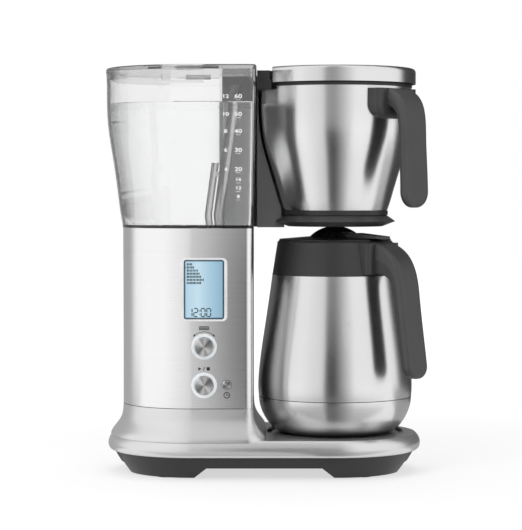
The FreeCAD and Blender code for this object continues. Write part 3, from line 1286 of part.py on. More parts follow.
def lid_gasket():
    """Soft ring under the lid."""
    ring = turned([(GASKET_RADIUS, LID_BOTTOM), (GASKET_RADIUS + GASKET_WIDTH, LID_BOTTOM),
                   (GASKET_RADIUS + GASKET_WIDTH, GASKET_TOP), (GASKET_RADIUS, GASKET_TOP)])
    end = box((-BASE_LENGTH, LID_CUT_X + PLASTIC_WALL), (-BASE_DEPTH, BASE_DEPTH), (0, TOTAL_HEIGHT))
    return ring.cut(lid_trim() + [end])


# Brew basket

def basket_shell():
    """Steel basket with an outlet in its floor."""
    floor = BASKET_RADII[0][1]
    inner = inward(BASKET_RADII[1:], BASKET_SHEET)
    inner_floor = (BASKET_RADII[0][0] - BASKET_SHEET, floor + BASKET_SHEET)
    shell = turned([(OUTLET_RADIUS, floor), BASKET_RADII, inner[::-1], inner_floor,
                    (OUTLET_RADIUS, floor + BASKET_SHEET)])
    return shell.cut(basket_screw_shanks())


def basket_rim():
    """Dark ring that caps the basket's edge."""
    outer = BASKET_RADII[-1][0]
    top = BASKET_RADII[-1][1]
    inner = outer - BASKET_SHEET - RIM_PROUD
    return turned([(outer, RIM_BOTTOM), (outer + RIM_PROUD, RIM_BOTTOM), (outer + RIM_PROUD, RIM_TOP),
                   (inner, RIM_TOP), (inner, top), (outer, top)])


def basket_base_ring():
    """Dark ring that the basket stands on."""
    low = PLATE_TOP + GAP
    inner = BASKET_RADII[0][0] - 2 * CASE_WALL
    ring = turned([(inner, low), (BASE_RING_RADIUS, low), (BASE_RING_RADIUS, BASE_RING_TOP),
                   (inner, BASE_RING_TOP)])
    return ring.cut(basket_block(0))


def filter_insert():
    """Tapered filter cup that hangs in the basket by its flange."""
    flange = BASKET_RADII[-1][0] - BASKET_SHEET - 2 * GAP
    lip = FILTER_TOP - 1.5
    return turned([(0, FILTER_FLOOR), (FILTER_FLOOR_RADIUS, FILTER_FLOOR), (FILTER_TOP_RADIUS, lip),
                   (flange, lip),
                   (flange, FILTER_TOP), (FILTER_TOP_RADIUS - FILTER_WALL, FILTER_TOP),
                   (FILTER_FLOOR_RADIUS - FILTER_WALL, FILTER_FLOOR + FILTER_WALL),
                   (0, FILTER_FLOOR + FILTER_WALL)])


def basket_screw_shanks():
    """Bores of the two handle screws through the shell."""
    return [on_diagonal(bar(at(BASKET_RADII[-1][0] - 6, y, BASKET_SCREW_Z), at(1, 0, 0), SCREW_RADIUS,
                            14))
            for y in (-BASKET_SCREW_Y, BASKET_SCREW_Y)]


def basket_handle_screws():
    """Two screws from inside the basket into the handle's root."""
    seat = math.sqrt((BASKET_RADII[-2][0] - BASKET_SHEET) ** 2 - BASKET_SCREW_Y ** 2) - 1.6
    heads = [bar(at(seat, y, BASKET_SCREW_Z), at(1, 0, 0), SCREW_HEAD_RADIUS, SCREW_HEAD_HEIGHT)
             for y in (-BASKET_SCREW_Y, BASKET_SCREW_Y)]
    shanks = [bar(at(seat, y, BASKET_SCREW_Z), at(1, 0, 0), SCREW_RADIUS, 12)
              for y in (-BASKET_SCREW_Y, BASKET_SCREW_Y)]
    wall = basket_block(0).cut(basket_block(-BASKET_SHEET))
    return group([joined([on_diagonal(head).cut(wall), on_diagonal(shank)]) for head,
                  shank in zip(heads, shanks)])


# Handles

def hung(line, top):
    """A grip line with its drops turned into heights."""
    return [(reach, top - drop) for reach, drop in line]


def basket_grip_lines():
    """Outer line, inner line and width of the basket's handle."""
    return hung(BASKET_GRIP_OUT, TOTAL_HEIGHT), hung(BASKET_GRIP_IN, TOTAL_HEIGHT), BASKET_HANDLE_WIDTH


def carafe_grip_lines():
    """Outer line, inner line and width of the carafe's handle."""
    return hung(CARAFE_GRIP_OUT, COLLAR_TOP), hung(CARAFE_GRIP_IN, COLLAR_TOP), CARAFE_HANDLE_WIDTH


def handle_band(outside, inside, width):
    """A curved strip between two smooth lines, drawn along the diagonal and given a width."""
    rim = [at(reach, -width / 2, z) for reach, z in outside]
    back = [at(reach, -width / 2, z) for reach, z in inside]
    return Part.Face(outline([rim, back[::-1]])).extrude(at(0, width, 0))


def between(outside, inside, share):
    """Points part of the way from one line to the other."""
    return [(a + (c - a) * share, b + (d - b) * share) for (a, b), (c, d) in zip(outside, inside)]


def rounded_foot(strip):
    """Rounds the two lower corners of a handle strip, with a short flat left between them."""
    foot = strip.BoundBox.ZMin
    radius = (strip.BoundBox.YLength - HANDLE_FOOT_FLAT) / 2
    corners = [edge for edge in strip.Edges if abs(edge.CenterOfMass.z - foot) < 1e-4
               and abs(edge.tangentAt(edge.FirstParameter).x) > 0.9]
    return strip.makeFillet(radius, corners)


def softened(strip, line, radius):
    """Softens the edges of the face that follows a line, all but its top edge."""
    reach, z = line[len(line) // 2]
    middle = Part.Vertex(at(reach, 0, z))
    face = min(strip.Faces, key=lambda each: each.distToShape(middle)[0])
    edges = [edge for edge in face.Edges if abs(edge.CenterOfMass.z - line[0][1]) > 1e-3]
    return strip.makeFillet(radius, edges)


def grip_strip(outside, inside, width):
    """Outer half of a handle, square edged."""
    return handle_band(outside, between(outside, inside, GRIP_SHARE), width)


def soft_grip(outside, inside, width):
    """Outer half of a handle, rounded."""
    return softened(rounded_foot(grip_strip(outside, inside, width)), outside, GRIP_ROUND)


def soft_core(outside, inside, width):
    """Inner half of a handle, rounded."""
    strip = handle_band(between(outside, inside, GRIP_SHARE), inside, width)
    return softened(rounded_foot(strip), inside, CORE_ROUND)


def basket_root():
    """Lobe of the basket's handle against the shell."""
    half = BASKET_ROOT_WIDTH / 2
    lobe = box((BASKET_RADII[-1][0] - 16, BASKET_ROOT_REACH), (-half, half),
               (BASKET_ROOT_BOTTOM, BASKET_ROOT_TOP))
    lower = [edge for edge in lobe.Edges if abs(edge.tangentAt(edge.FirstParameter).x) > 0.9
             and edge.CenterOfMass.z < BASKET_ROOT_BOTTOM + 1]
    lobe = lobe.makeFillet(ROOT_CORNER, lower)
    face = max(lobe.Faces, key=lambda each: each.CenterOfMass.x)
    rim = [edge for edge in face.Edges if edge.CenterOfMass.z < BASKET_ROOT_TOP - 1e-3]
    return lobe.makeFillet(ROOT_ROUND, rim)


def basket_handle_core():
    """Inner half of the basket's handle, with its root."""
    lines = basket_grip_lines()
    core = joined([basket_root().cut(grip_strip(*lines)), soft_core(*lines)])
    return on_diagonal(core).cut([basket_block(0)] + basket_screw_shanks())


def basket_handle_grip():
    """Outer half of the basket's handle."""
    return on_diagonal(soft_grip(*basket_grip_lines())).cut(basket_block(0))


def carafe_root():
    """Root of the carafe's handle against the collar."""
    half = CARAFE_ROOT_WIDTH / 2
    block = box((COLLAR_TOP_RADIUS - 16, CARAFE_ROOT_REACH), (-half, half),
                (COLLAR_BOTTOM + 2, COLLAR_TOP - 2))
    along = [edge for edge in block.Edges if abs(edge.tangentAt(edge.FirstParameter).z) > 0.9
             and edge.CenterOfMass.x > COLLAR_TOP_RADIUS]
    return block.makeFillet(5.0, along)


def carafe_handle_core():
    """Inner half of the carafe's handle, with its root."""
    lines = carafe_grip_lines()
    core = joined([carafe_root().cut(grip_strip(*lines)), soft_core(*lines)])
    return on_diagonal(core).cut(collar_block())


def carafe_handle_grip():
    """Outer half of the carafe's handle."""
    return on_diagonal(soft_grip(*carafe_grip_lines())).cut(collar_block())


# Carafe

def carafe_shell():
    """Outer steel wall with its shoulder."""
    top = COLLAR_BOTTOM
    inner = inward(CARAFE_RADII[:-1], CARAFE_SHEET)
    return turned([CARAFE_RADII, (NECK_RADIUS, top), (NECK_RADIUS, top - CARAFE_SHEET),
                   (CARAFE_RADII[-1][0] - CARAFE_SHEET, top - CARAFE_SHEET), inner[::-1]])


def carafe_bottom():
    """Steel cup that closes the carafe below its seam."""
    inner = inward(CUP_RADII[1:], CARAFE_SHEET)
    floor = CARAFE_FLOOR + CARAFE_SHEET
    return turned([(0, CARAFE_FLOOR), CUP_RADII, inner[::-1], (CUP_RADII[0][0] - CARAFE_SHEET, floor),
                   (0, floor)])


def carafe_liner():
    """Inner vessel; the space round it is the vacuum."""
    step = VACUUM_GAP + CARAFE_SHEET
    wall = [(radius - step, z + VACUUM_GAP) for radius, z in CUP_RADII[1:-1]]
    wall += [(radius - step, z) for radius, z in CARAFE_RADII[1:-1]]
    floor = CARAFE_FLOOR + step
    shoulder = COLLAR_BOTTOM - step
    inner = inward(wall, CARAFE_SHEET)
    return turned([(0, floor), (wall[0][0] - 6, floor), wall, (NECK_RADIUS, shoulder + 3),
                   (NECK_RADIUS, NECK_TOP),
                   (NECK_RADIUS - CARAFE_SHEET, NECK_TOP), (NECK_RADIUS - CARAFE_SHEET, shoulder + 2),
                   inner[::-1],
                   (wall[0][0] - 7, floor + CARAFE_SHEET), (0, floor + CARAFE_SHEET)])


def collar_side():
    """Outside line of the collar."""
    return [(CARAFE_RADII[-1][0], COLLAR_BOTTOM), (COLLAR_TOP_RADIUS, COLLAR_TOP - 1.8),
            (COLLAR_TOP_RADIUS - 1.8, COLLAR_TOP)]


def collar_block():
    """The collar as a full solid."""
    return turned([(0, COLLAR_BOTTOM)] + collar_side() + [(0, COLLAR_TOP)])


def carafe_collar():
    """Dark collar with the mouth for the lid and a pouring lip at the back."""
    wall = CASE_WALL
    bottom, top = COLLAR_BOTTOM, COLLAR_TOP
    ring = turned(collar_side() + [(MOUTH_RADIUS, top), (MOUTH_RADIUS, NECK_TOP), (NECK_RADIUS, NECK_TOP),
                  (NECK_RADIUS, bottom), (NECK_RADIUS + wall, bottom), (NECK_RADIUS + wall, top - wall),
                  (COLLAR_TOP_RADIUS - wall, top - wall), (CARAFE_RADII[-1][0] - wall, bottom)])
    tip = COLLAR_TOP_RADIUS + SPOUT_REACH
    foot = bottom + SPOUT_FOOT_LIFT
    upper = [at(-SPOUT_ROOT, SPOUT_HALF, top), at(-SPOUT_ROOT, -SPOUT_HALF, top), at(-tip, 0, top)]
    lower = [at(-SPOUT_FOOT_ROOT, SPOUT_HALF / 4, foot), at(-SPOUT_FOOT_ROOT, -SPOUT_HALF / 4, foot),
             at(6 - tip, 0, foot)]
    lip = on_diagonal(Part.makeLoft([outline(upper), outline(lower)], True, True)).cut(collar_block())
    return joined([ring, lip])


def dome_line(radius):
    """Points down the dome from its flat top to the plug's width."""
    flat = math.sqrt(radius ** 2 - (DOME_TOP - (DOME_RADIUS - radius) - DOME_CENTRE) ** 2)
    start = math.acos(flat / radius)
    end = math.acos(min((PLUG_RADIUS - (DOME_RADIUS - radius)) / radius, 1.0))
    turns = [start + (end - start) * step / 4 for step in range(5)]
    return [(radius * math.cos(turn), DOME_CENTRE + radius * math.sin(turn)) for turn in turns]


def carafe_lid():
    """Domed lid with its plug, a sloping brim, a slot for the lever and cheeks for the lever's pin."""
    outer = dome_line(DOME_RADIUS)
    inner = dome_line(DOME_RADIUS - PLASTIC_WALL)
    shell = turned([(0, DOME_TOP), outer, (PLUG_RADIUS, PLUG_BOTTOM),
                    (PLUG_RADIUS - PLASTIC_WALL, PLUG_BOTTOM),
                    inner[::-1], (0, DOME_TOP - PLASTIC_WALL)])
    full = turned([(0, DOME_TOP), outer, (0, outer[-1][1])])
    low = COLLAR_TOP + GAP
    edge = COLLAR_TOP_RADIUS - BRIM_INSET
    brim = turned([(PLUG_RADIUS - PLASTIC_WALL / 2, low), (edge, low), (edge, low + BRIM_EDGE),
                   (PLUG_RADIUS - PLASTIC_WALL / 2, low + BRIM_INNER)])
    half = LEVER_WIDTH / 2 + GAP
    cheeks = []
    for side in (-1, 1):
        near, far = sorted((side * half, side * (half + PLASTIC_WALL)))
        cheek = box((LEVER_PIVOT - 4, LEVER_PIVOT + 4), (near, far), (outer[-1][1], DOME_TOP))
        cheeks.append(on_diagonal(cheek).common(full))
    slot = box((LEVER_PIVOT, LEVER_REACH), (-half, half),
               (LEVER_BOTTOM - 2.5, LEVER_BOTTOM + LEVER_THICK + LEVER_RISE + 0.6))
    bore = bar(at(LEVER_PIVOT, -DOME_RADIUS, LEVER_PIN_Z), at(0, 1, 0), LEVER_PIN_RADIUS + RUN_GAP,
               2 * DOME_RADIUS)
    return joined([shell, brim] + cheeks).cut([on_diagonal(slot), on_diagonal(bore)])


def pour_lever():
    """Thumb lever with its pin."""
    half = LEVER_WIDTH / 2
    high = LEVER_BOTTOM + LEVER_THICK
    side = [(LEVER_PIVOT - 4, LEVER_BOTTOM), (LEVER_REACH, LEVER_BOTTOM),
            (LEVER_REACH, LEVER_BOTTOM + LEVER_TIP), (PLUG_RADIUS, high + LEVER_RISE),
            (LEVER_PIVOT + 4, high), (LEVER_PIVOT - 4, high)]
    tab = Part.Face(outline([at(reach, -half, z) for reach, z in side])).extrude(at(0, 2 * half, 0))
    outer = [edge for edge in tab.Edges if edge.CenterOfMass.x > LEVER_REACH - 1e-6
             and abs(edge.tangentAt(edge.FirstParameter).z) > 0.9]
    tab = tab.makeFillet(LEVER_WIDTH * 0.3, outer)
    length = LEVER_WIDTH + 2 * GAP + 2 * PLASTIC_WALL
    pin = bar(at(LEVER_PIVOT, -length / 2, LEVER_PIN_Z), at(0, 1, 0), LEVER_PIN_RADIUS, length)
    return on_diagonal(joined([tab, pin]))


NODES = [base_plinth, rubber_feet, base_cover, carafe_rail, column_sleeve, rear_panel, cord_gland,
         case_screws,
         top_deck, chassis, control_carrier, control_board, rotary_encoder, button_switches, lcd_bezel,
         lcd_window,
         lcd_panel, light_rings, power_board, pump_housing, flow_meter, heater, water_hoses, water_tank,
         tank_strainer, riser_tube, level_probe, arm_housing, arm_rear_cover, drip_plate,
         drip_plate_underside,
         valve_spring, shower_arm, shower_head, hinge_bracket, hinge_pins, tank_lid, lid_band, lid_cap,
         lid_gasket,
         basket_shell, basket_rim, basket_base_ring, filter_insert, basket_handle_core,
         basket_handle_grip,
         basket_handle_screws, carafe_shell, carafe_bottom, carafe_liner, carafe_collar,
         carafe_handle_core,
         carafe_handle_grip, carafe_lid, pour_lever, select_dial, start_button, auto_button,
         valve_plunger,
         pump_rotor]

os.makedirs("parts", exist_ok=True)
for make in NODES:
    shape = make()
    shape.exportStep("parts/" + make.__name__ + ".step")
    print(make.__name__, len(shape.Solids), "solids", round(shape.Volume / 1000, 2), "cm3")
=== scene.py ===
# %% [markdown]
# # Dressing a drip coffee maker
# The machine arrives as a imported model: every moulding, sheet and screw already has its true size and place.
# This lesson gives those pieces their finishes, adds the few things that are too fine or too fluid for
# solids, and sets up a camera and a pale sweep to photograph the result on. Lengths are in metres, and the
# machine stands on the floor at zero.

# %% Load the imported machine
import json
import math

import bmesh
import bpy
from mathutils import Matrix, Vector


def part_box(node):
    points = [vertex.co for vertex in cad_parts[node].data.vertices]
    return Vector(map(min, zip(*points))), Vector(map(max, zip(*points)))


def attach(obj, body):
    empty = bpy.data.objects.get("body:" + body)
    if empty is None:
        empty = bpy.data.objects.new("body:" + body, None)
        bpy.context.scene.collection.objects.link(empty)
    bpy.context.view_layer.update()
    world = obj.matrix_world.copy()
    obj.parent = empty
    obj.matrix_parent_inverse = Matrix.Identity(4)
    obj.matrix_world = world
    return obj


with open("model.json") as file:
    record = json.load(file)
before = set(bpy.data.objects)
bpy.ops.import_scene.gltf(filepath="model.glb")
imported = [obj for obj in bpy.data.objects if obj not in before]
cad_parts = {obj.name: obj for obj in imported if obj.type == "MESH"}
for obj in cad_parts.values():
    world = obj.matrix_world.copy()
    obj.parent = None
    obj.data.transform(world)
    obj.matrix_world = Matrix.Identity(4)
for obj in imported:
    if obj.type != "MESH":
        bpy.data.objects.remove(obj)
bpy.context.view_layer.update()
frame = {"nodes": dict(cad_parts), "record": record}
nodes = frame["nodes"]
slot_of = {row["node"]: row["material_slot"] for row in frame["record"]["subparts"]}

# %% [markdown]
# ## Camera
# The picture was taken with a long lens from two metres away, from a little above the drip plate. The
# machine's middle lies lower, so the camera looks down by two degrees. A lens shift would do the same, but
# the camera would keep it when it walks round the machine, and cut off the top there.

# %% Place the camera
PHOTO_HEIGHT, HORIZON_ROW, LENS_PIXELS = 530, 190, 2004
CAMERA_PLACE = Vector((-0.0032, -2.0, 0.280))
SENSOR_WIDTH = 36.0
LOOK_DOWN = math.atan((PHOTO_HEIGHT / 2 - HORIZON_ROW) / LENS_PIXELS)


def put(name, data):
    """A new object in the scene that shows some data."""
    thing = bpy.data.objects.new(name, data)
    bpy.context.scene.collection.objects.link(thing)
    return thing


camera_data = bpy.data.cameras.new("camera")
camera_data.sensor_width = SENSOR_WIDTH
camera_data.lens = SENSOR_WIDTH * LENS_PIXELS / PHOTO_HEIGHT
camera = put("camera", camera_data)
camera.location = CAMERA_PLACE
camera.rotation_euler = (math.radians(90) - LOOK_DOWN, 0, 0)
bpy.context.scene.camera = camera
bpy.context.scene.view_settings.view_transform = "Standard"
print("lens:", round(camera_data.lens, 2), "looks down by", round(math.degrees(LOOK_DOWN), 2), "degrees")

# %% [markdown]
# ## Node helpers
# A finish is a small tree of nodes. These helpers lay the usual ones: a place to read the pattern from, a
# noise, a ramp from numbers to colours, and a bump. All patterns read Object coordinates, so they stay on the
# piece.

# %% A new finish, and where its pattern lies
def finish(name, **sockets):
    """A new material whose shader sockets are set to fixed values."""
    material = bpy.data.materials.new(name)
    material.use_nodes = True
    shader = material.node_tree.nodes["Principled BSDF"]
    for socket, value in sockets.items():
        shader.inputs[socket.replace("_", " ")].default_value = value
    return material, material.node_tree, shader


def grain_place(tree, scale=(1, 1, 1), location=(0, 0, 0), rotation=(0, 0, 0)):
    """Object coordinates, stretched, moved and turned."""
    coords = tree.nodes.new("ShaderNodeTexCoord")
    mapping = tree.nodes.new("ShaderNodeMapping")
    mapping.inputs["Scale"].default_value = scale
    mapping.inputs["Location"].default_value = location
    mapping.inputs["Rotation"].default_value = rotation
    tree.links.new(coords.outputs["Object"], mapping.inputs["Vector"])
    return mapping.outputs["Vector"]


def axes(tree):
    """Object coordinates, one axis at a time."""
    split = tree.nodes.new("ShaderNodeSeparateXYZ")
    tree.links.new(grain_place(tree), split.inputs[0])
    return split.outputs


print("helpers: finish, grain_place, axes")

# %% Numbers, colours and relief
def noise(tree, vector, scale, detail=3.0, roughness=0.5):
    """Cloudy numbers about one half."""
    texture = tree.nodes.new("ShaderNodeTexNoise")
    texture.inputs["Scale"].default_value = scale
    texture.inputs["Detail"].default_value = detail
    texture.inputs["Roughness"].default_value = roughness
    tree.links.new(vector, texture.inputs["Vector"])
    return texture.outputs["Fac"]


def spread(tree, value, low, high, start=0.25, end=0.75):
    """Stretches a number from between start and end on to a new range."""
    node = tree.nodes.new("ShaderNodeMapRange")
    node.inputs["From Min"].default_value = start
    node.inputs["From Max"].default_value = end
    node.inputs["To Min"].default_value = low
    node.inputs["To Max"].default_value = high
    tree.links.new(value, node.inputs["Value"])
    return node.outputs["Result"]


def arithmetic(tree, operation, *values):
    """One sum of numbers, each fixed or linked."""
    node = tree.nodes.new("ShaderNodeMath")
    node.operation = operation
    for socket, value in zip(node.inputs, values):
        if isinstance(value, float):
            socket.default_value = value
        else:
            tree.links.new(value, socket)
    return node.outputs[0]


def ramp(tree, value, stops):
    """Numbers to colours, from (place, colour) stops."""
    node = tree.nodes.new("ShaderNodeValToRGB")
    elements = node.color_ramp.elements
    while len(elements) < len(stops):
        elements.new(0.5)
    for element, (place, colour) in zip(elements, stops):
        element.position = place
        element.color = (*colour, 1)
    tree.links.new(value, node.inputs["Fac"])
    return node.outputs["Color"]


def grey(value, tint=(1, 1, 1)):
    """A grey with a slight tint."""
    return tuple(value * part for part in tint)


def bump(tree, shader, height, strength, distance):
    """Raises the surface by a height pattern."""
    node = tree.nodes.new("ShaderNodeBump")
    node.inputs["Strength"].default_value = strength
    node.inputs["Distance"].default_value = distance
    tree.links.new(height, node.inputs["Height"])
    tree.links.new(node.outputs["Normal"], shader.inputs["Normal"])


def coat(tree, shader, colour, rough):
    """Links a colour and a roughness to a shader."""
    tree.links.new(colour, shader.inputs["Base Color"])
    tree.links.new(rough, shader.inputs["Roughness"])


print("helpers: noise, spread, arithmetic, ramp, grey, bump, coat")

# %% [markdown]
# ## Moulded plastic
# The plinth, the arm, the collar and both handles are dark mouldings with a spark-eroded grain, about a
# third of a millimetre across. Fine noise raises the surface, and a broader one shifts the tone and the gloss
# a little.

# %% Plastics
def moulding(name, tone, rough, grain=2600, depth=0.00004, tint=(1, 1, 1.02)):
    """Grained plastic of one tone, between two values of roughness."""
    material, tree, shader = finish(name, Specular_IOR_Level=0.45)
    place = grain_place(tree)
    broad = noise(tree, place, scale=34, detail=4)
    fine = noise(tree, place, scale=grain, detail=2)
    colour = ramp(tree, broad, [(0.3, grey(tone * 0.9, tint)), (0.7, grey(tone * 1.1, tint))])
    coat(tree, shader, colour, spread(tree, broad, *rough))
    bump(tree, shader, fine, strength=0.35, distance=depth)
    return material


def silicone(name, tone, tint):
    """Milky tube: soft gloss and a little light through it."""
    material, tree, shader = finish(name, Subsurface_Weight=0.3, Subsurface_Radius=(0.004, 0.004, 0.004),
                                    Specular_IOR_Level=0.4)
    place = grain_place(tree)
    cloud = noise(tree, place, scale=60, detail=3)
    colour = ramp(tree, cloud, [(0.3, grey(tone * 0.92, tint)), (0.7, grey(tone, tint))])
    coat(tree, shader, colour, spread(tree, cloud, 0.35, 0.5))
    bump(tree, shader, noise(tree, place, scale=900, detail=2), strength=0.15, distance=0.00003)
    return material


finishes = {
    "black_plastic": moulding("black moulding", 0.022, rough=(0.34, 0.46)),
    "grey_plastic": moulding("charcoal moulding", 0.055, rough=(0.36, 0.48)),
    "white_plastic": moulding("white moulding", 0.72, rough=(0.4, 0.5), tint=(1, 0.995, 0.97)),
    "rubber": moulding("foot rubber", 0.018, rough=(0.7, 0.85), grain=1500, depth=0.00008),
    "hose": silicone("silicone hose", 0.7, tint=(1, 0.99, 0.96)),
}
print("plastics:", sorted(finishes))

# %% [markdown]
# ## Brushed steel
# Brushing leaves scratches round the body, so a steel cylinder shows upright streaks of light: every scratch
# spreads its highlight across itself. The scratches are noise squeezed flat along the height, and the spread
# is the shader's own anisotropy about the upright axis. The base cover is satin aluminium with a dull skin,
# so its shader is a little less than all metal. The carafe's cup has painted shade at its very foot, for the
# dark gap below that the cup would mirror.

# %% Metals
# Colour of the painted shade at the foot of the carafe's cup.
FOOT_SHADE_COLOUR = (0.03, 0.03, 0.03, 1)


def turned_about(tree, shader, axis):
    """Lets scratches that run round an axis spread each highlight across themselves."""
    tangent = tree.nodes.new("ShaderNodeTangent")
    tangent.direction_type = "RADIAL"
    tangent.axis = axis
    tree.links.new(tangent.outputs["Tangent"], shader.inputs["Tangent"])


def dull_foot(tree, colour, low, high):
    """Paints shade into a colour towards the foot, bare at the high height and darkest at the low one."""
    foot_shade = tree.nodes.new("ShaderNodeMixRGB")
    foot_shade.inputs["Color1"].default_value = FOOT_SHADE_COLOUR
    tree.links.new(spread(tree, axes(tree)["Z"], 0, 1, low, high), foot_shade.inputs["Fac"])
    tree.links.new(colour, foot_shade.inputs["Color2"])
    return foot_shade.outputs["Color"]


def brushed(name, tone, rough, lines, depth, anisotropy=0.0, metal=1.0, foot=None):
    """Metal with scratches: lines squeezes the noise along each axis, foot holds the heights of painted shade.
    """
    material, tree, shader = finish(name, Metallic=metal, Anisotropic=anisotropy, Anisotropic_Rotation=0.25)
    scratches = noise(tree, grain_place(tree, scale=lines), scale=1.0, detail=5, roughness=0.65)
    smear = noise(tree, grain_place(tree), scale=14, detail=3)
    colour = ramp(tree, scratches, [(0.2, grey(tone * 0.96)), (0.8, grey(min(tone * 1.03, 1)))])
    if foot:
        # Painted shade at the foot, standing in for the dark gap below that the cup would mirror.
        colour = dull_foot(tree, colour, *foot)
    worn = arithmetic(tree, "MULTIPLY_ADD", scratches, 0.7, spread(tree, smear, 0.1, 0.2))
    coat(tree, shader, colour, spread(tree, worn, *rough))
    turned_about(tree, shader, "Z")
    bump(tree, shader, scratches, strength=0.08, distance=depth)
    return material


VESSEL = {"tone": 0.78, "rough": (0.22, 0.28), "lines": (6, 6, 2600), "anisotropy": 0.6, "depth": 0.000005}
finishes["brushed_sleeve"] = brushed("brushed column steel", tone=0.88, rough=(0.26, 0.31),
                                     lines=(5, 5, 3600), anisotropy=0.55, depth=0.000003)
finishes["brushed_steel"] = brushed("brushed vessel steel", **VESSEL)
finishes["silver_cover"] = brushed("satin base metal", tone=0.75, rough=(0.27, 0.31),
                                   lines=(3000, 3000, 3000), depth=0.000002, metal=0.82)
finishes["bright_metal"] = brushed("bright trim metal", tone=0.82, rough=(0.1, 0.18), lines=(300, 300, 900),
                                   depth=0.000004)
finishes["screw_steel"] = brushed("screw steel", tone=0.6, rough=(0.25, 0.4), lines=(500, 500, 500),
                                  depth=0.00001)
finishes["cast_metal"] = brushed("cast heater metal", tone=0.5, rough=(0.45, 0.6), lines=(260, 260, 260),
                                 depth=0.00005)
print("metals ready, in all:", len(finishes))

# %% [markdown]
# ## Clear and frosted plastic
# The tank and its lid are clear with real wall thickness, so the shader only needs the bend of light in
# plastic, a little haze, and a grey that grows with the depth of plastic that light goes through.

# %% Clear pieces
GREY_DEPTH = (0.5, 0.51, 0.52, 1)


def clear(name, tone, index, rough=0.0, haze=0.0, depth=0.0):
    """Clear plastic with faint flow marks; depth is how fast it turns grey."""
    material, tree, shader = finish(name, Transmission_Weight=1.0 - haze, IOR=index)
    flow = noise(tree, grain_place(tree), scale=20, detail=2)
    colour = ramp(tree, flow, [(0.3, grey(tone * 0.985)), (0.7, grey(tone))])
    coat(tree, shader, colour, spread(tree, flow, rough, rough + 0.02))
    bump(tree, shader, flow, strength=0.05, distance=0.0002)
    if depth:
        absorb = tree.nodes.new("ShaderNodeVolumeAbsorption")
        absorb.inputs["Color"].default_value = GREY_DEPTH
        absorb.inputs["Density"].default_value = depth
        tree.links.new(absorb.outputs["Volume"], tree.nodes["Material Output"].inputs["Volume"])
    return material


finishes["clear_plastic"] = clear("clear tank plastic", tone=0.99, index=1.46, haze=0.02, depth=6.0)
finishes["display_glass"] = clear("display window", tone=0.97, index=1.2)
finishes["frosted_plastic"] = clear("frosted tube", tone=0.93, index=1.4, rough=0.3, haze=0.25)
print("clear pieces ready, in all:", len(finishes))

# %% [markdown]
# ## Lights and boards
# The display is lit from behind, brightest a third of the way across, with a thin line of painted shade at its
# edge where the bezel would shade it.
# Milky rings glow round the dial and the start button. Behind the panel there is a green board with copper
# under its lacquer.

# %% Display, light guides and circuit board
# Width of the painted shade where the bezel would shade the display.
EDGE_SHADE_WIDTH = 0.0022


def lit_display(name, low, high):
    """Backlit panel that fades from one side to the other, with a line of painted shade round its edge."""
    material, tree, shader = finish(name, Emission_Strength=0.78, Roughness=0.4)
    along = axes(tree)
    across = spread(tree, along["X"], 0, 1, low.x, high.x)
    colours = ramp(tree, across, [(0.0, (0.50, 0.71, 0.83)), (0.35, (0.66, 0.85, 0.95)),
                                  (0.62, (0.50, 0.72, 0.85)), (1.0, (0.33, 0.55, 0.70))])
    # Painted shade: the colour darkens towards each edge, as under the bezel's shadow.
    sides = (("X", low.x, EDGE_SHADE_WIDTH), ("X", high.x, -EDGE_SHADE_WIDTH),
             ("Z", low.z, EDGE_SHADE_WIDTH), ("Z", high.z, -EDGE_SHADE_WIDTH))
    fades = [spread(tree, along[axis], 0, 1, side, side + inward) for axis, side, inward in sides]
    edge = fades[0]
    for fade in fades[1:]:
        edge = arithmetic(tree, "MULTIPLY", edge, fade)
    shade = tree.nodes.new("ShaderNodeMixRGB")
    shade.blend_type = "MULTIPLY"
    shade.inputs["Fac"].default_value = 1.0
    tree.links.new(colours, shade.inputs["Color1"])
    tree.links.new(ramp(tree, edge, [(0.3, (0.05, 0.07, 0.09)), (1.0, (1, 1, 1))]), shade.inputs["Color2"])
    tree.links.new(shade.outputs["Color"], shader.inputs["Emission Color"])
    unlit = ramp(tree, across, [(0, (0.12, 0.16, 0.19)), (1, (0.04, 0.07, 0.1))])
    tree.links.new(unlit, shader.inputs["Base Color"])
    return material


def light_guide(name):
    """Milky ring lit from behind."""
    material, tree, shader = finish(name, Emission_Strength=0.15, Emission_Color=(0.85, 0.9, 0.95, 1),
                                    Specular_IOR_Level=0.6)
    cloud = noise(tree, grain_place(tree), scale=300, detail=3)
    colour = ramp(tree, cloud, [(0.3, (0.66, 0.69, 0.71)), (0.7, (0.74, 0.77, 0.79))])
    coat(tree, shader, colour, spread(tree, cloud, 0.15, 0.25))
    return material


def circuit_board(name):
    """Green board with lighter lines of copper under the lacquer."""
    material, tree, shader = finish(name, Specular_IOR_Level=0.5)
    cells = tree.nodes.new("ShaderNodeTexBrick")
    cells.inputs["Scale"].default_value = 160
    cells.inputs["Mortar Size"].default_value = 0.018
    cells.inputs["Color1"].default_value = (0.012, 0.07, 0.03, 1)
    cells.inputs["Color2"].default_value = (0.016, 0.085, 0.036, 1)
    cells.inputs["Mortar"].default_value = (0.05, 0.16, 0.07, 1)
    place = grain_place(tree, rotation=(math.radians(90), 0, 0))
    tree.links.new(place, cells.inputs["Vector"])
    coat(tree, shader, cells.outputs["Color"], spread(tree, noise(tree, place, scale=200), 0.25, 0.4))
    bump(tree, shader, cells.outputs["Fac"], strength=0.2, distance=0.00005)
    return material


finishes["light_guide"] = light_guide("milky light guide")
finishes["board"] = circuit_board("green board")
finishes["display"] = lit_display("blue display", *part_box("lcd_panel"))
print("finishes:", len(finishes))

# %% [markdown]
# ## Dressing the pieces
# The imported record names a finish slot for every piece. A few pieces differ a little from the rest of their
# slot, such as the darker pouring lid, and get a finish of their own. The arm is painted paler than the
# charcoal of its slot: painted light, for the shade it stands in between the tank and the basket.

# %% Give every imported piece its finish
def dress(name, material):
    """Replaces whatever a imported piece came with."""
    mesh = nodes[name].data
    mesh.materials.clear()
    mesh.materials.append(material)


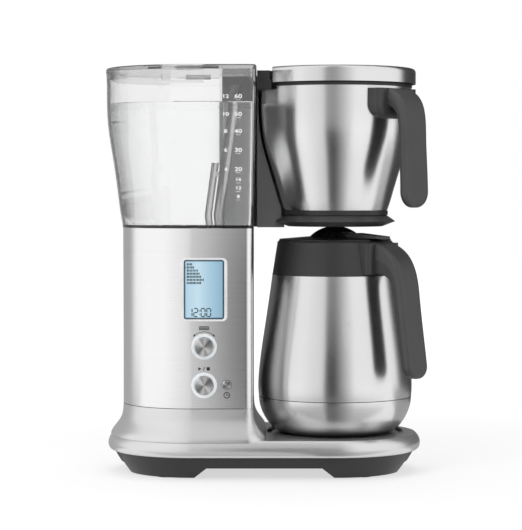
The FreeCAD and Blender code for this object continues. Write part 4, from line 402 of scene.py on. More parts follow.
for name, slot in slot_of.items():
    dress(name, finishes[slot])
cup_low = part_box("carafe_bottom")[0].z
# Heights over which painted shade darkens the foot of the cup.
CUP_SHADE_HEIGHTS = (cup_low + 0.001, cup_low + 0.012)
own_finishes = {
    "carafe_bottom": brushed("cup steel", foot=CUP_SHADE_HEIGHTS, **VESSEL),
    "carafe_collar": moulding("collar moulding", 0.027, rough=(0.3, 0.4)),
    "carafe_lid": moulding("pouring lid moulding", 0.012, rough=(0.25, 0.35)),
    "carafe_handle_core": moulding("carafe handle core", 0.035, rough=(0.4, 0.5)),
    "basket_handle_core": moulding("basket handle core", 0.035, rough=(0.4, 0.5)),
    "tank_lid": clear("clear lid plastic", tone=0.97, index=1.49, haze=0.07, depth=8.0),
    "hinge_pins": moulding("blackened pins", 0.02, rough=(0.3, 0.4)),
    # The arm's tone is raised as painted light, for the shade it stands in.
    "arm_housing": moulding("arm moulding with painted light", 0.12, rough=(0.36, 0.48)),
    "lcd_bezel": moulding("pearl bezel", 0.72, rough=(0.3, 0.4), grain=4000, depth=0.00001),
}
for name, material in own_finishes.items():
    dress(name, material)
print("dressed:", len(slot_of), "pieces, of them", len(own_finishes), "in a finish of their own")

# %% [markdown]
# ## Spun metal knobs
# The faces of the dial and the buttons are turned on a lathe, so their scratches are rings and the light
# breaks into a bright and dark fan. The rings lie about the front to back axis. The fan is a painted
# reflection: a ramp of light and dark tones round that axis, painted into the colour so that it shows under
# any light.

# %% Knob faces
KNOBS = ("select_dial", "start_button", "auto_button")
# Tones of the painted highlight and shade, by the turn round the knob's middle.
PAINTED_FAN = [(0.0, 0.45), (0.06, 0.8), (0.13, 1.0), (0.2, 0.4), (0.29, 0.8), (0.37, 0.22), (0.5, 0.45), (0.56, 0.8),
       (0.63, 1.0), (0.7, 0.45), (0.79, 0.85), (0.87, 0.25), (1.0, 0.45)]


def spun(name, centre):
    """Metal turned about a front to back axis through a point, with a painted reflection fanned round it."""
    material, tree, shader = finish(name, Metallic=1.0, Anisotropic=0.85, Anisotropic_Rotation=0.25)
    rings = tree.nodes.new("ShaderNodeTexWave")
    rings.wave_type = "RINGS"
    rings.rings_direction = "Y"
    rings.inputs["Scale"].default_value = 700
    rings.inputs["Distortion"].default_value = 1.5
    tree.links.new(grain_place(tree, location=-centre), rings.inputs["Vector"])
    sweep = tree.nodes.new("ShaderNodeTexGradient")
    sweep.gradient_type = "RADIAL"
    facing = grain_place(tree, location=(-centre.x, centre.z, -centre.y), rotation=(math.radians(90), 0, 0))
    tree.links.new(facing, sweep.inputs["Vector"])
    # Painted reflection: light and dark tones by the turn round the knob's middle.
    colour = ramp(tree, sweep.outputs["Fac"], [(turn, grey(tone)) for turn, tone in PAINTED_FAN])
    coat(tree, shader, colour, spread(tree, rings.outputs["Fac"], 0.2, 0.3, 0, 1))
    turned_about(tree, shader, "Y")
    bump(tree, shader, rings.outputs["Fac"], strength=0.2, distance=0.00001)
    return material


for name in KNOBS:
    low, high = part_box(name)
    dress(name, spun("spun face of " + name, (low + high) / 2))
print("spun faces:", len(KNOBS))

# %% [markdown]
# ## Small pieces
# Print on the panel, segments of the display and water are too thin or too fluid for solids. Each is a mesh
# in the machine's own frame, rides on its body, and carries its finish.

# %% Helpers for small pieces
def add_piece(name, mesh, body):
    """A finished mesh as a piece that rides on a body."""
    piece = put(name, mesh)
    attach(piece, body)
    return piece


def mesh_piece(name, points, faces, material, body):
    """A piece made from points and faces, with its faces turned outwards."""
    mesh = bpy.data.meshes.new(name)
    mesh.from_pydata([tuple(point) for point in points], [], faces)
    mesh.validate()
    shape = bmesh.new()
    shape.from_mesh(mesh)
    bmesh.ops.recalc_face_normals(shape, faces=shape.faces)
    shape.to_mesh(mesh)
    shape.free()
    mesh.materials.append(material)
    return add_piece(name, mesh, body)


def slab(points, faces, outline, front, back):
    """Adds a thin closed plate that faces the front, from an outline of (x, z)."""
    start = len(points)
    count = len(outline)
    points += [(x, front, z) for x, z in outline] + [(x, back, z) for x, z in outline]
    faces.append(list(range(start, start + count)))
    faces.append(list(range(start + 2 * count - 1, start + count - 1, -1)))
    for step in range(count):
        after = (step + 1) % count
        faces.append([start + step, start + count + step, start + count + after, start + after])


print("helpers: add_piece, mesh_piece, slab")

# %% Inks
def ink(name, tone):
    """Screen print: flat, slightly uneven ink."""
    material, tree, shader = finish(name, Specular_IOR_Level=0.3)
    patches = noise(tree, grain_place(tree), scale=900, detail=3)
    colour = ramp(tree, patches, [(0.3, grey(tone * 0.85)), (0.7, grey(tone * 1.1))])
    coat(tree, shader, colour, spread(tree, patches, 0.5, 0.65))
    return material


dark_ink = ink("dark panel print", 0.025)
segment_ink = ink("display segments", 0.02)
white_ink = ink("white gauge print", 0.92)
print("inks:", [material.name for material in (dark_ink, segment_ink, white_ink)])

# %% [markdown]
# ## Blocks that repeat
# Menu letters, gauge ticks and filter ribs are all small boxes set on many points. One Geometry Nodes group
# makes them: it sets a box on every point, turns it by the point's own angles, varies its width with a fixed
# seed, and ends as a plain mesh.

# %% A node group that sets a block on every point
BLOCK_INPUTS = {"Width": "Float", "Depth": "Float", "Height": "Float", "Unevenness": "Float", "Seed": "Int",
                "Finish": "Material"}


def block_group(name):
    """The group, and the identifier of each of its named inputs."""
    group = bpy.data.node_groups.new(name, "GeometryNodeTree")
    group.interface.new_socket("Geometry", in_out="INPUT", socket_type="NodeSocketGeometry")
    group.interface.new_socket("Geometry", in_out="OUTPUT", socket_type="NodeSocketGeometry")
    inputs = {}
    for label, kind in BLOCK_INPUTS.items():
        socket = group.interface.new_socket(label, in_out="INPUT", socket_type="NodeSocket" + kind)
        inputs[label] = socket.identifier
    add, links = group.nodes.new, group.links
    entry = add("NodeGroupInput")
    size = add("ShaderNodeCombineXYZ")
    for label, axis in (("Width", "X"), ("Depth", "Y"), ("Height", "Z")):
        links.new(entry.outputs[label], size.inputs[axis])
    cube = add("GeometryNodeMeshCube")
    links.new(size.outputs[0], cube.inputs["Size"])
    least = arithmetic(group, "SUBTRACT", 1.0, entry.outputs["Unevenness"])
    chance = add("FunctionNodeRandomValue")
    links.new(least, chance.inputs[2])
    chance.inputs[3].default_value = 1.0
    links.new(entry.outputs["Seed"], chance.inputs["Seed"])
    scale = add("ShaderNodeCombineXYZ")
    scale.inputs[1].default_value = 1.0
    scale.inputs[2].default_value = 1.0
    links.new(chance.outputs[1], scale.inputs[0])
    turn = add("GeometryNodeInputNamedAttribute")
    turn.data_type = "FLOAT_VECTOR"
    turn.inputs["Name"].default_value = "turn"
    scatter = add("GeometryNodeInstanceOnPoints")
    links.new(entry.outputs["Geometry"], scatter.inputs["Points"])
    links.new(cube.outputs["Mesh"], scatter.inputs["Instance"])
    links.new(scale.outputs[0], scatter.inputs["Scale"])
    links.new(turn.outputs["Attribute"], scatter.inputs["Rotation"])
    real = add("GeometryNodeRealizeInstances")
    links.new(scatter.outputs["Instances"], real.inputs["Geometry"])
    paint = add("GeometryNodeSetMaterial")
    links.new(real.outputs["Geometry"], paint.inputs["Geometry"])
    links.new(entry.outputs["Finish"], paint.inputs["Material"])
    leave = add("NodeGroupOutput")
    links.new(paint.outputs["Geometry"], leave.inputs["Geometry"])
    return group, inputs


BLOCKS, BLOCK_SOCKETS = block_group("block on every point")
print("block group:", len(BLOCKS.nodes), "nodes, inputs", list(BLOCK_SOCKETS))

# %% Run the group on points
def repeated(name, places, values, body, turns=None):
    """Sets blocks on points and keeps the plain mesh as a piece."""
    seed_mesh = bpy.data.meshes.new(name + " places")
    seed_mesh.from_pydata([tuple(place) for place in places], [], [])
    if turns is not None:
        layer = seed_mesh.attributes.new("turn", "FLOAT_VECTOR", "POINT")
        layer.data.foreach_set("vector", [part for turn in turns for part in turn])
    seeds = put(name + " places", seed_mesh)
    modifier = seeds.modifiers.new("repeat", "NODES")
    modifier.node_group = BLOCKS
    for label, value in values.items():
        modifier[BLOCK_SOCKETS[label]] = value
    mesh = bpy.data.meshes.new_from_object(seeds.evaluated_get(bpy.context.evaluated_depsgraph_get()))
    mesh.name = name
    bpy.data.objects.remove(seeds)
    add_piece(name, mesh, body)
    print(name + ":", len(places), "copies,", len(mesh.polygons), "faces")


print("helper: repeated")

# %% [markdown]
# ## Display
# The menu of the display is drawn as rows of plain blocks, one for each place where a letter would light up.
# They lie on the front of the display's window.

# %% Menu rows of the display
WINDOW_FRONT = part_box("lcd_window")[0].y
MENU_LEFT, MENU_TOP, MENU_STEP = -0.0742, 0.2084, 0.0030
MENU_LENGTHS = [0.0063, 0.0075, 0.0112, 0.0132, 0.0136, 0.0168, 0.0138]
MENU_LIFT = 0.00004
LETTER_STEP = 0.0014
LETTER = {"Width": 0.00115, "Depth": 0.00006, "Height": 0.0021, "Unevenness": 0.35, "Seed": 4,
          "Finish": segment_ink}
menu_places = [(MENU_LEFT + letter * LETTER_STEP, WINDOW_FRONT - MENU_LIFT, MENU_TOP - row * MENU_STEP)
               for row, length in enumerate(MENU_LENGTHS) for letter in range(round(length / LETTER_STEP))]
repeated("menu_rows", menu_places, LETTER, "machine")

# %% [markdown]
# ## Clock
# The clock has seven bars for each digit. A bar is a small six-cornered plate, and a digit is a choice of
# bars. A colon parts the hours from the minutes, and a small pointer marks the second row of the menu.

# %% Clock digits, colon and pointer
SEGMENTS = {"0": "abcdef", "1": "bc", "2": "abged"}
CLOCK_LOW, CLOCK_HEIGHT, CLOCK_WIDTH = 0.1580, 0.0078, 0.0038
CLOCK_LEFTS = (-0.0735, -0.0680, -0.0610, -0.0555)
BAR_THICK = 0.13 * CLOCK_HEIGHT
BAR_GAP = 0.35 * BAR_THICK
COLON_X, COLON_SIDE, COLON_RISES = -0.0626, 0.0009, (0.3, 0.7)
POINTER_LEFT, POINTER_TIP, POINTER_HALF = -0.0766, -0.0754, 0.0008
SEGMENT_DEPTH = 0.00006
clock_points, clock_faces = [], []


def lit(outline):
    """Adds one dark plate on the front of the window."""
    slab(clock_points, clock_faces, outline, WINDOW_FRONT - SEGMENT_DEPTH, WINDOW_FRONT)


def oblong(centre, width, height):
    """The outline of an upright rectangle about a point."""
    (x, z), across, up = centre, width / 2, height / 2
    return [(x - across, z - up), (x + across, z - up), (x + across, z + up), (x - across, z + up)]


def bar_outline(x, z, length, upright):
    """One pointed bar of a digit."""
    half, edge = length / 2, BAR_THICK / 2
    shape = [(-half, 0), (-half + edge, edge), (half - edge, edge), (half, 0), (half - edge, -edge),
             (-half + edge, -edge)]
    if upright:
        shape = [(-b, a) for a, b in shape]
    return [(x + a, z + b) for a, b in shape]


def digit(sign, left):
    """Adds the bars of one digit."""
    half, middle, right = CLOCK_HEIGHT / 2, left + CLOCK_WIDTH / 2, left + CLOCK_WIDTH
    bars = {"a": (middle, 2.0, False), "g": (middle, 1.0, False), "d": (middle, 0.0, False),
            "f": (left, 1.5, True), "e": (left, 0.5, True), "b": (right, 1.5, True), "c": (right, 0.5, True)}
    for label in SEGMENTS[sign]:
        x, halves, upright = bars[label]
        length = (half if upright else CLOCK_WIDTH) - BAR_GAP
        lit(bar_outline(x, CLOCK_LOW + halves * half, length, upright))


for left, sign in zip(CLOCK_LEFTS, "1200"):
    digit(sign, left)
for rise in COLON_RISES:
    lit(oblong((COLON_X, CLOCK_LOW + CLOCK_HEIGHT * rise), COLON_SIDE, COLON_SIDE))
pointer_z = MENU_TOP - MENU_STEP
lit([(POINTER_LEFT, pointer_z + POINTER_HALF), (POINTER_LEFT, pointer_z - POINTER_HALF),
     (POINTER_TIP, pointer_z)])
mesh_piece("clock_digits", clock_points, clock_faces, segment_ink, "machine")
print("clock faces:", len(clock_faces))

# %% [markdown]
# ## Panel print
# The dial has a two-headed arrow round its top, and plain signs tell what the knobs do: a list for choosing,
# a triangle and a square for start and stop, and a clock face for the timer.

# %% Shapes of the print
PRINT_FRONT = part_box("column_sleeve")[0].y
PRINT_DEPTH = 0.00005
print_points, print_faces = [], []


def printed(outline):
    """Adds one printed shape on the panel."""
    slab(print_points, print_faces, outline, PRINT_FRONT - PRINT_DEPTH, PRINT_FRONT)


def face_centre(name):
    """The middle of a knob, as (x, z) on the panel."""
    low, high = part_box(name)
    return (low.x + high.x) / 2, (low.z + high.z) / 2


def round_point(centre, reach, degrees):
    """The point at a distance and a turn from a centre on the panel."""
    turn = math.radians(degrees)
    return centre[0] + reach * math.cos(turn), centre[1] + reach * math.sin(turn)


def arc_strip(centre, radius, width, first, last, steps):
    """The outline of a curved stripe between two turns."""
    turns = [first + (last - first) * step / steps for step in range(steps + 1)]
    outer = [round_point(centre, radius + width / 2, turn) for turn in turns]
    inner = [round_point(centre, radius - width / 2, turn) for turn in reversed(turns)]
    return outer + inner


DIAL, START, AUTO = (face_centre(name) for name in KNOBS)
print("knob centres:", [tuple(round(value, 4) for value in centre) for centre in (DIAL, START, AUTO)])

# %% Signs of the dial
ARROW_RADIUS, ARROW_WIDTH, ARROW_BARB = 0.0144, 0.00055, 0.0011
ARROW_RIGHT, ARROW_LEFT, ARROW_TIP, ARROW_STEPS = 52, 128, 10, 24
LIST_ROWS, LIST_RISE, LIST_STEP, LIST_LINE = 3, 0.0192, 0.0013, (0.0100, 0.0009)
printed(arc_strip(DIAL, ARROW_RADIUS, ARROW_WIDTH, ARROW_RIGHT, ARROW_LEFT, ARROW_STEPS))
for end, tip in ((ARROW_RIGHT, ARROW_RIGHT - ARROW_TIP), (ARROW_LEFT, ARROW_LEFT + ARROW_TIP)):
    printed([round_point(DIAL, ARROW_RADIUS + ARROW_BARB, end), round_point(DIAL, ARROW_RADIUS, tip),
             round_point(DIAL, ARROW_RADIUS - ARROW_BARB, end)])
for row in range(LIST_ROWS):
    printed(oblong((DIAL[0], DIAL[1] + LIST_RISE - row * LIST_STEP), *LIST_LINE))
print("dial signs:", len(print_faces), "faces")

# %% Signs of the two buttons
SIGN_RISE, SIGN_HALF, SIGN_APART = 0.0160, 0.0016, 0.0040
SLASH_NEAR, SLASH_FAR = 0.0002, 0.0010
TIMER_DROP, TIMER_RADIUS, TIMER_LINE, TIMER_STEPS = 0.0100, 0.0027, 0.0008, 20
HALF_RING = 179.9
HAND_WIDTH, LONG_HAND, SHORT_HAND = 0.0006, (0.0008, 0.0018), (0.0007, 0.0014)
start_x, sign_z = START[0], START[1] + SIGN_RISE
sign_low, sign_high = sign_z - SIGN_HALF, sign_z + SIGN_HALF
triangle_x = start_x - SIGN_APART
printed([(triangle_x - SIGN_HALF, sign_low), (triangle_x + SIGN_HALF, sign_z),
         (triangle_x - SIGN_HALF, sign_high)])
printed([(start_x - SLASH_FAR, sign_low), (start_x - SLASH_NEAR, sign_low), (start_x + SLASH_FAR, sign_high),
         (start_x + SLASH_NEAR, sign_high)])
printed(oblong((start_x + SIGN_APART, sign_z), 2 * SIGN_HALF, 2 * SIGN_HALF))
timer_x, timer_z = AUTO[0], AUTO[1] - TIMER_DROP
for first in (0, 180):
    printed(arc_strip((timer_x, timer_z), TIMER_RADIUS, TIMER_LINE, first, first + HALF_RING, TIMER_STEPS))
printed(oblong((timer_x, timer_z + LONG_HAND[0]), HAND_WIDTH, LONG_HAND[1]))
printed(oblong((timer_x + SHORT_HAND[0], timer_z), SHORT_HAND[1], HAND_WIDTH))
mesh_piece("panel_signs", print_points, print_faces, dark_ink, "machine")
print("panel signs:", len(print_faces), "faces")

# %% [markdown]
# ## Water
# The tank stands nearly full. Water fills the room inside the wall up to a level line, and creeps up a little
# where it meets the plastic. It is lofted from the tank's own outline, so it keeps a hair's breadth from the
# wall everywhere.

# %% The tank's outline at any height
TANK_FOOT, TANK_RIM = 0.2430, 0.3953
TANK_REACH = [(0.0, 0.0700), (0.125, 0.0730), (0.31, 0.0766), (0.47, 0.0802), (0.585, 0.0830),
              (0.795, 0.0855), (1.0, 0.0861)]
TOWER_X = -0.07075
TANK_RIGHT_FOOT, TANK_RIGHT_RIM = -0.0104, -0.0076
NOTCH_X, NOTCH_Y = -0.0423, 0.0237
WALL, CORNER = 0.0025, 0.0070
ROUND_STEPS, CORNER_STEPS = 48, 8
HAIR = 1e-9


def tank_share(z):
    """How far up the tank a height is, from nought at its foot to one at its rim."""
    return (z - TANK_FOOT) / (TANK_RIM - TANK_FOOT)


def reach_slope(index):
    """How fast the reach grows at a row, from the rows beside it."""
    before, after = TANK_REACH[max(index - 1, 0)], TANK_REACH[min(index + 1, len(TANK_REACH) - 1)]
    return (after[1] - before[1]) / (after[0] - before[0])


def tank_reach(z):
    """How far the tank's wall stands from the column's axis at a height, on a smooth line."""
    share = tank_share(z)
    at = max(index for index, row in enumerate(TANK_REACH[:-1]) if row[0] <= share + HAIR)
    (near_share, near_reach), (far_share, far_reach) = TANK_REACH[at], TANK_REACH[at + 1]
    span = far_share - near_share
    step = (share - near_share) / span
    along = step ** 2 * (3 - 2 * step)
    near_bend = span * reach_slope(at) * step * (1 - step) ** 2
    far_bend = span * reach_slope(at + 1) * step ** 2 * (step - 1)
    return near_reach + along * (far_reach - near_reach) + near_bend + far_bend


def tank_line(z, inset):
    """The tank's outline at a height, drawn in, with the notch at the rear right."""
    reach = tank_reach(z) - inset
    right = TANK_RIGHT_FOOT + (TANK_RIGHT_RIM - TANK_RIGHT_FOOT) * tank_share(z) - inset
    corner = CORNER - inset
    line = [(NOTCH_X - inset, reach)]
    for step in range(ROUND_STEPS + 1):
        turn = math.radians(90 + 180 * step / ROUND_STEPS)
        line.append((TOWER_X + reach * math.cos(turn), reach * math.sin(turn)))
    for step in range(CORNER_STEPS + 1):
        turn = math.radians(-90 + 90 * step / CORNER_STEPS)
        line.append((right - corner + corner * math.cos(turn), -reach + corner + corner * math.sin(turn)))
    return line + [(right, NOTCH_Y - inset), (NOTCH_X - inset, NOTCH_Y - inset)]


print("tank wall stands out by", [round(tank_reach(z), 4) for z in (TANK_FOOT, TANK_RIM)])

# %% Water in the tank
WATER_FOOT, WATER_LEVEL, WATER_STEPS, WATER_GAP = 0.2464, 0.3640, 12, 0.0004
CREEP = ((0.0009, 0.0004), (0.0003, 0.0011), (0.0, 0.0026))
LEVEL_FACE = 0.9


def water(name):
    """Still water: clear, with the faintest cloud in it."""
    material, tree, shader = finish(name, Transmission_Weight=1.0, IOR=1.33, Roughness=0.0)
    cloud = noise(tree, grain_place(tree), scale=12, detail=2)
    colour = ramp(tree, cloud, [(0.3, (0.98, 0.987, 0.99)), (0.7, (0.99, 0.993, 0.996))])
    tree.links.new(colour, shader.inputs["Base Color"])
    return material


water_rows = [(WATER_FOOT + (WATER_LEVEL - WATER_FOOT) * step / WATER_STEPS, WATER_GAP)
              for step in range(WATER_STEPS + 1)]
water_rows += [(WATER_LEVEL + rise, gap) for rise, gap in CREEP]
water_points = [(x, y, z) for z, gap in water_rows for x, y in tank_line(z, WALL + gap)]
ring = len(water_points) // len(water_rows)
water_faces = []
for row in range(len(water_rows) - 1):
    low, high = row * ring, (row + 1) * ring
    for step in range(ring):
        after = (step + 1) % ring
        water_faces.append([low + step, low + after, high + after, high + step])
water_faces.append(list(range(ring))[::-1])
water_faces.append(list(range(len(water_points) - ring, len(water_points))))
tank_water = mesh_piece("tank_water", water_points, water_faces, water("still water"), "machine")
for face in tank_water.data.polygons:
    face.use_smooth = abs(face.normal.z) < LEVEL_FACE
print("water faces:", len(water_faces))

# %% [markdown]
# ## Gauge
# White numbers are printed on the tank's right front corner, in two columns. Type is made as text and turned
# into a mesh, and each of its points is laid on the wall where a ray from in front meets it. The ticks under
# the numbers are blocks, each leaning back by the wall's own slope.

# %% Type that lies on the tank
PRINT_LIFT, TYPE_WIDTH, TYPE_BOLD = 0.00010, 1.3, 0.00010
IN_FRONT, SLOPE_STEP = -0.2, 0.001


def wall_front(x, z):
    """Where the tank's front stands, felt with a ray from in front of it."""
    return nodes["water_tank"].ray_cast(Vector((x, IN_FRONT, z)), Vector((0, 1, 0)))[1].y


def wall_lean(z):
    """The slope of the tank's front at a height, as a turn about the X axis."""
    return math.atan2(tank_reach(z + SLOPE_STEP) - tank_reach(z - SLOPE_STEP), 2 * SLOPE_STEP)


def number_mesh(sign, size, x, z):
    """The mesh of one number, lying on the tank's front."""
    curve = bpy.data.curves.new("number", "FONT")
    curve.body = str(sign)
    curve.size = size
    curve.align_x = "CENTER"
    curve.align_y = "CENTER"
    curve.resolution_u = 3
    curve.offset = TYPE_BOLD
    holder = put("number", curve)
    flat = bpy.data.meshes.new_from_object(holder.evaluated_get(bpy.context.evaluated_depsgraph_get()))
    upright = Matrix.Rotation(math.radians(90), 4, "X") @ Matrix.Diagonal((TYPE_WIDTH, 1, 1, 1))
    flat.transform(Matrix.Translation((x, 0, z)) @ upright)
    for vertex in flat.vertices:
        vertex.co.y = wall_front(vertex.co.x, vertex.co.z) - PRINT_LIFT
    bpy.data.objects.remove(holder)
    return flat


print("helpers: wall_front, wall_lean, number_mesh")

# %% Gauge numbers and ticks
GAUGE = [(0.3692, 60, 12), (0.3523, 50, 10), (0.3360, 40, 8), (0.3181, 30, 6), (0.2998, 20, 4),
         (0.2901, 16, None), (0.2819, 12, None), (0.2737, 8, None)]
OUNCES_X, CUPS_X = -0.0249, -0.0370
LARGE_TYPE, SMALL_TYPE, CUPS_SHARE = 0.0056, 0.0044, 0.9
TICK_DROP = 0.0033
TICK = {"Width": 0.0046, "Depth": 0.00006, "Height": 0.00035, "Unevenness": 0.0, "Seed": 1,
        "Finish": white_ink}
gauge_points, gauge_faces = [], []
for z, ounces, cups in GAUGE:
    columns = [(ounces, LARGE_TYPE if cups else SMALL_TYPE, OUNCES_X)]
    if cups:
        columns.append((cups, LARGE_TYPE * CUPS_SHARE, CUPS_X))
    for sign, size, x in columns:
        flat = number_mesh(sign, size, x, z)
        start = len(gauge_points)
        gauge_points += [tuple(vertex.co) for vertex in flat.vertices]
        gauge_faces += [[start + corner for corner in face.vertices] for face in flat.polygons]
        bpy.data.meshes.remove(flat)
gauge_mesh = bpy.data.meshes.new("gauge_numbers")
gauge_mesh.from_pydata(gauge_points, [], gauge_faces)
gauge_mesh.materials.append(white_ink)
add_piece("gauge_numbers", gauge_mesh, "machine")
tick_rows = [z - TICK_DROP for z, ounces, cups in GAUGE]
tick_places = [(OUNCES_X, wall_front(OUNCES_X, z) - PRINT_LIFT, z) for z in tick_rows]
tick_turns = [(wall_lean(z), 0, 0) for z in tick_rows]
repeated("gauge_ticks", tick_places, TICK, "machine", tick_turns)
print("gauge faces:", len(gauge_faces))

# %% [markdown]
# ## Joints between sheets
# Where two sheets of metal meet, a hair of shadow shows. It is a thin dark band that follows the piece all
# round, so rays are sent at the piece from every side to feel where its wall stands.

# %% Dark lines at the column's foot and round the carafe's cup
BREW_X = -TOWER_X
LINE_STEPS, LINE_HALF, LINE_PROUD, LINE_DEEP = 180, 0.0003, 0.00008, 0.0003
ALL_ROUND = 0.3
joint_shadow = ink("joint shadow", 0.03)


def joint_line(name, node, centre_x, body):
    """A thin band round the foot of a node, whose axis stands at a place along X."""
    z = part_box(node)[0].z
    section = ((LINE_PROUD, LINE_HALF), (LINE_PROUD, -LINE_HALF), (-LINE_DEEP, -LINE_HALF),
               (-LINE_DEEP, LINE_HALF))
    corners = len(section)
    points, faces = [], []
    for step in range(LINE_STEPS):
        turn = 2 * math.pi * step / LINE_STEPS
        out = Vector((math.cos(turn), math.sin(turn), 0))
        wall = nodes[node].ray_cast(Vector((centre_x, 0, z + 2 * LINE_HALF)) + out * ALL_ROUND, -out)[1]
        points += [(wall.x + out.x * reach, wall.y + out.y * reach, z + rise) for reach, rise in section]
    for step in range(LINE_STEPS):
        here, after = step * corners, (step + 1) % LINE_STEPS * corners
        for corner in range(corners):
            beside = (corner + 1) % corners
            faces.append([here + corner, here + beside, after + beside, after + corner])
    mesh_piece(name, points, faces, joint_shadow, body)
    print(name + ":", len(faces), "faces at height", round(z, 4))


joint_line("column_foot_line", "column_sleeve", TOWER_X, "machine")
joint_line("carafe_cup_line", "carafe_shell", BREW_X, "carafe")

# %% [markdown]
# ## Filter ribs
# Inside the brew basket hangs a filter cup. Upright ribs hold the paper off its wall so that coffee can run
# down. The ribs lean with the wall and repeat round the axis, so one box is set on a ring of points, each
# with its own turn.

# %% Ribs in the filter cup
RIB_COUNT, RIB_SUNK = 24, 0.0006
CUP_FOOT, CUP_TOP = (0.0450, 0.2680), (0.0700, 0.3770)
RIB = {"Width": 0.0014, "Depth": 0.0016, "Height": 0.098, "Unevenness": 0.0, "Seed": 1,
       "Finish": finishes["black_plastic"]}
rib_reach, rib_z = (CUP_FOOT[0] + CUP_TOP[0]) / 2 - RIB_SUNK, (CUP_FOOT[1] + CUP_TOP[1]) / 2
rib_lean = math.atan2(CUP_TOP[0] - CUP_FOOT[0], CUP_TOP[1] - CUP_FOOT[1])
rib_turns = [2 * math.pi * step / RIB_COUNT for step in range(RIB_COUNT)]
rib_places = [(BREW_X + rib_reach * math.cos(turn), rib_reach * math.sin(turn), rib_z) for turn in rib_turns]
repeated("filter_ribs", rib_places, RIB, "basket",
         [(-rib_lean, 0, turn - math.pi / 2) for turn in rib_turns])

# %% [markdown]
# ## Stage and light
# The machine stands on a white sweep. Camera, mirror and glass rays see the floor and the world as plain
# white, and other rays see ordinary studio light.

# %% White floor
FLOOR_REACH = 6


def bare_material(name):
    """A material with an empty tree."""
    material = bpy.data.materials.new(name)
    material.use_nodes = True
    material.node_tree.nodes.clear()
    return material, material.node_tree


def surface_between(tree, share, first, second):
    """Mixes two shaders by a share, and makes that the surface."""
    mix = tree.nodes.new("ShaderNodeMixShader")
    output = tree.nodes.new("ShaderNodeOutputMaterial")
    tree.links.new(share, mix.inputs["Fac"])
    tree.links.new(first.outputs[0], mix.inputs[1])
    tree.links.new(second.outputs[0], mix.inputs[2])
    tree.links.new(mix.outputs[0], output.inputs["Surface"])


def seen_directly(tree):
    """One for rays that come straight from the camera, a mirror or a glass surface."""
    path = tree.nodes.new("ShaderNodeLightPath")
    seen = path.outputs["Is Camera Ray"]
    for kind in ("Is Glossy Ray", "Is Transmission Ray"):
        seen = arithmetic(tree, "MAXIMUM", seen, path.outputs[kind])
    return seen


def floor_white(name):
    """White floor that keeps a soft shadow near the machine and is plain white far off."""
    material, tree = bare_material(name)
    plain = tree.nodes.new("ShaderNodeBsdfDiffuse")
    plain.inputs["Color"].default_value = (0.9, 0.9, 0.9, 1)
    white = tree.nodes.new("ShaderNodeEmission")
    white.inputs["Strength"].default_value = 1.15
    distance = tree.nodes.new("ShaderNodeVectorMath")
    distance.operation = "LENGTH"
    tree.links.new(grain_place(tree), distance.inputs[0])
    far = spread(tree, distance.outputs["Value"], 0.55, 1.0, start=0.3, end=1.5)
    surface_between(tree, arithmetic(tree, "MULTIPLY", seen_directly(tree), far), plain, white)
    return material


def stage_panel(name, corners, material):
    """One flat four-cornered stage piece."""
    mesh = bpy.data.meshes.new(name)
    mesh.from_pydata(corners, [], [(0, 1, 2, 3)])
    mesh.materials.append(material)
    piece = put(name, mesh)
    return piece


floor_corners = [(x * FLOOR_REACH, y * FLOOR_REACH, 0) for x, y in ((-1, -1), (1, -1), (1, 1), (-1, 1))]
stage_panel("floor", floor_corners, floor_white("white sweep"))
print("floor:", 2 * FLOOR_REACH, "metres wide")

# %% [markdown]
# ## Cards for steel
# Steel shows what stands round it, so a studio sets dark cards round a silver pot. They give it its streak
# and its dark edges. Each card is a panel whose sides fade out. It shows in mirrors or through glass alone,
# throws no shadow, and isn't seen by the camera.

# %% A card with soft edges
FAN_CENTRE = Vector((0.070, -0.035))
FAN_REACH = 0.415


def soft_card(name, sides, foot, head, tone, seen_in="mirrors", fan=False, fade=None):
    """A card from a foot to a head (y, z), dark between soft sides, each (clear from, full at) along X.

    On a floor card a fan draws the sides in towards the carafe, and a fade (clear at, full at) along Y
    softens an end.
    """
    material, tree = bare_material(name)
    (left, left_full), (right, right_full) = sides
    along = axes(tree)
    across = along["X"]
    if fan:
        ahead = arithmetic(tree, "SUBTRACT", FAN_CENTRE.y, along["Y"])
        turned = arithmetic(tree, "DIVIDE", arithmetic(tree, "SUBTRACT", across, FAN_CENTRE.x), ahead)
        across = arithmetic(tree, "ADD", arithmetic(tree, "MULTIPLY", turned, FAN_REACH), FAN_CENTRE.x)
    share = arithmetic(tree, "MULTIPLY", spread(tree, across, 0, 1, left, left_full),
                       spread(tree, across, 1, 0, right_full, right))
    if fade:
        share = arithmetic(tree, "MULTIPLY", share, spread(tree, along["Y"], 0, 1, *fade))
    dark = tree.nodes.new("ShaderNodeEmission")
    dark.inputs["Color"].default_value = (*grey(tone), 1)
    gone = tree.nodes.new("ShaderNodeBsdfTransparent")
    surface_between(tree, share, gone, dark)
    card = stage_panel(name, [(left, *foot), (right, *foot), (right, *head), (left, *head)], material)
    card.visible_camera = False
    card.visible_diffuse = False
    card.visible_shadow = False
    card.visible_glossy = seen_in == "mirrors"
    card.visible_transmission = seen_in == "glass"


print("helper: soft_card")

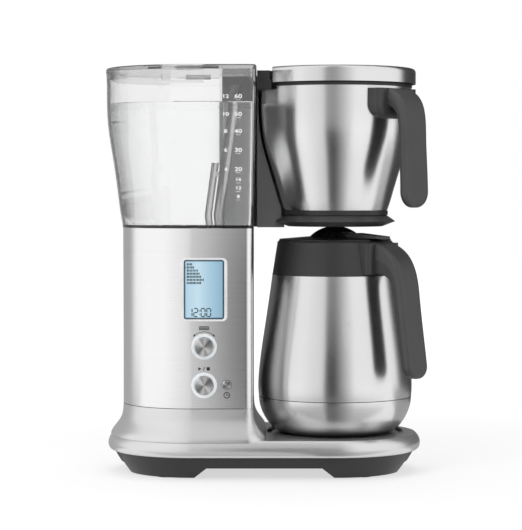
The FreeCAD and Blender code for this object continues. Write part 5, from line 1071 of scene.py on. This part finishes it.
# %% Cards for steel
CARD_FOOT, CARD_HEAD, ON_FLOOR = 0.001, 2.0, 0.0008
STREAK, STREAK_Y, STREAK_STEP = ((-0.074, -0.046), (0.28, 0.055)), -0.45, 0.25
FAINT, FAINT_Y = ((-0.48, -0.09), (0.06, -0.03)), -0.452
FRONT, FRONT_END, FRONT_FULL, NEAR_BASE = ((-0.30, -0.05), (0.40, 0.10)), -1.2, -0.12, -0.09
BEHIND, BEHIND_START, BEHIND_END = ((-1.2, -0.6), (1.6, 0.8)), 0.0, 0.39
soft_card("low streak card", STREAK, (STREAK_Y, CARD_FOOT), (STREAK_Y, STREAK_STEP), 0.04)
soft_card("high streak card", STREAK, (STREAK_Y, STREAK_STEP), (STREAK_Y, CARD_HEAD), 0.36)
soft_card("faint streak card", FAINT, (FAINT_Y, CARD_FOOT), (FAINT_Y, CARD_HEAD), 0.84)
soft_card("streak on the floor", STREAK, (STREAK_Y, CARD_FOOT), (NEAR_BASE, CARD_FOOT), 0.15, fan=True)
soft_card("grey floor in front", FRONT, (FRONT_END, ON_FLOOR), (NEAR_BASE, ON_FLOOR), 0.5,
          fade=(FRONT_END, FRONT_FULL))
soft_card("grey floor behind", BEHIND, (BEHIND_START, ON_FLOOR), (BEHIND_END, ON_FLOOR), 0.4)
rear_cards = [
    ("left rear card", ((-1.5, -0.8), (-0.22, -0.3)), 0.4, 0.40),
    ("right rear card", ((0.22, 0.3), (2.3, 1.1)), 0.4, 0.06),
    ("rear card", ((-0.3, -0.25), (0.3, 0.25)), 0.41, 0.15),
]
for name, sides, y, tone in rear_cards:
    soft_card(name, sides, (y, CARD_FOOT), (y, CARD_HEAD), tone)
print("cards for steel: 3 in front, 3 on the floor,", len(rear_cards), "behind")

# %% [markdown]
# ## Light
# Three soft boxes light the machine from the left, the right and above. Real ones would leave white squares
# in the steel, so mirrors and glass don't see these. A plain world fills in the rest.

# %% World and lamps
WORLD_LIGHT, WORLD_WHITE = 0.55, 1.0
LAMP_AIM = Vector((0, 0, 0.2))
lamps = [
    ("key box", Vector((-1.1, -1.5, 1.5)), 1.0, 14),
    ("fill box", Vector((0.6, -2.0, 0.8)), 1.0, 9),
    ("top box", Vector((0, 0.3, 1.8)), 1.2, 8),
]


def lamp(name, place, size, power):
    """A square soft box that leaves no glint of its own on metal."""
    data = bpy.data.lights.new(name, "AREA")
    data.size = size
    data.energy = power
    box = put(name, data)
    box.location = place
    box.rotation_euler = (LAMP_AIM - place).to_track_quat("-Z", "Y").to_euler()
    box.visible_glossy = False
    box.visible_transmission = False


world = bpy.data.worlds.new("studio")
bpy.context.scene.world = world
world.use_nodes = True
background = world.node_tree.nodes["Background"]
background.inputs["Color"].default_value = (1, 1, 1, 1)
level = spread(world.node_tree, seen_directly(world.node_tree), WORLD_LIGHT, WORLD_WHITE, start=0, end=1)
world.node_tree.links.new(level, background.inputs["Strength"])
for row in lamps:
    lamp(*row)
print("world and", len(lamps), "lamps")

# %% [markdown]
# ## Cards for the tank
# Clear plastic on white hardly has an edge. Dark wings behind the tank and a card above it show through glass
# alone, and shade its sides where the wall bends light most.

# %% Wings and ceiling
CEILING, CEILING_REACH, CEILING_Z, CEILING_TONE = ((-1.0, -0.8), (1.0, 0.8)), 0.8, 1.0, 0.4
WING_Y = 0.42
wings = [
    ("left wing", ((-1.1, -1.0), (-0.22, -0.3)), 0.1),
    ("far left wing", ((-4.0, -3.0), (-1.0, -1.1)), 0.06),
    ("right wing", ((-0.02, 0.26), (0.8, 0.6)), 0.25),
]
soft_card("ceiling card", CEILING, (-CEILING_REACH, CEILING_Z), (CEILING_REACH, CEILING_Z), CEILING_TONE,
          seen_in="glass")
for name, sides, tone in wings:
    soft_card(name, sides, (WING_Y, CARD_FOOT), (WING_Y, CARD_HEAD), tone, seen_in="glass")
print("cards for the tank: a ceiling and", len(wings), "wings")
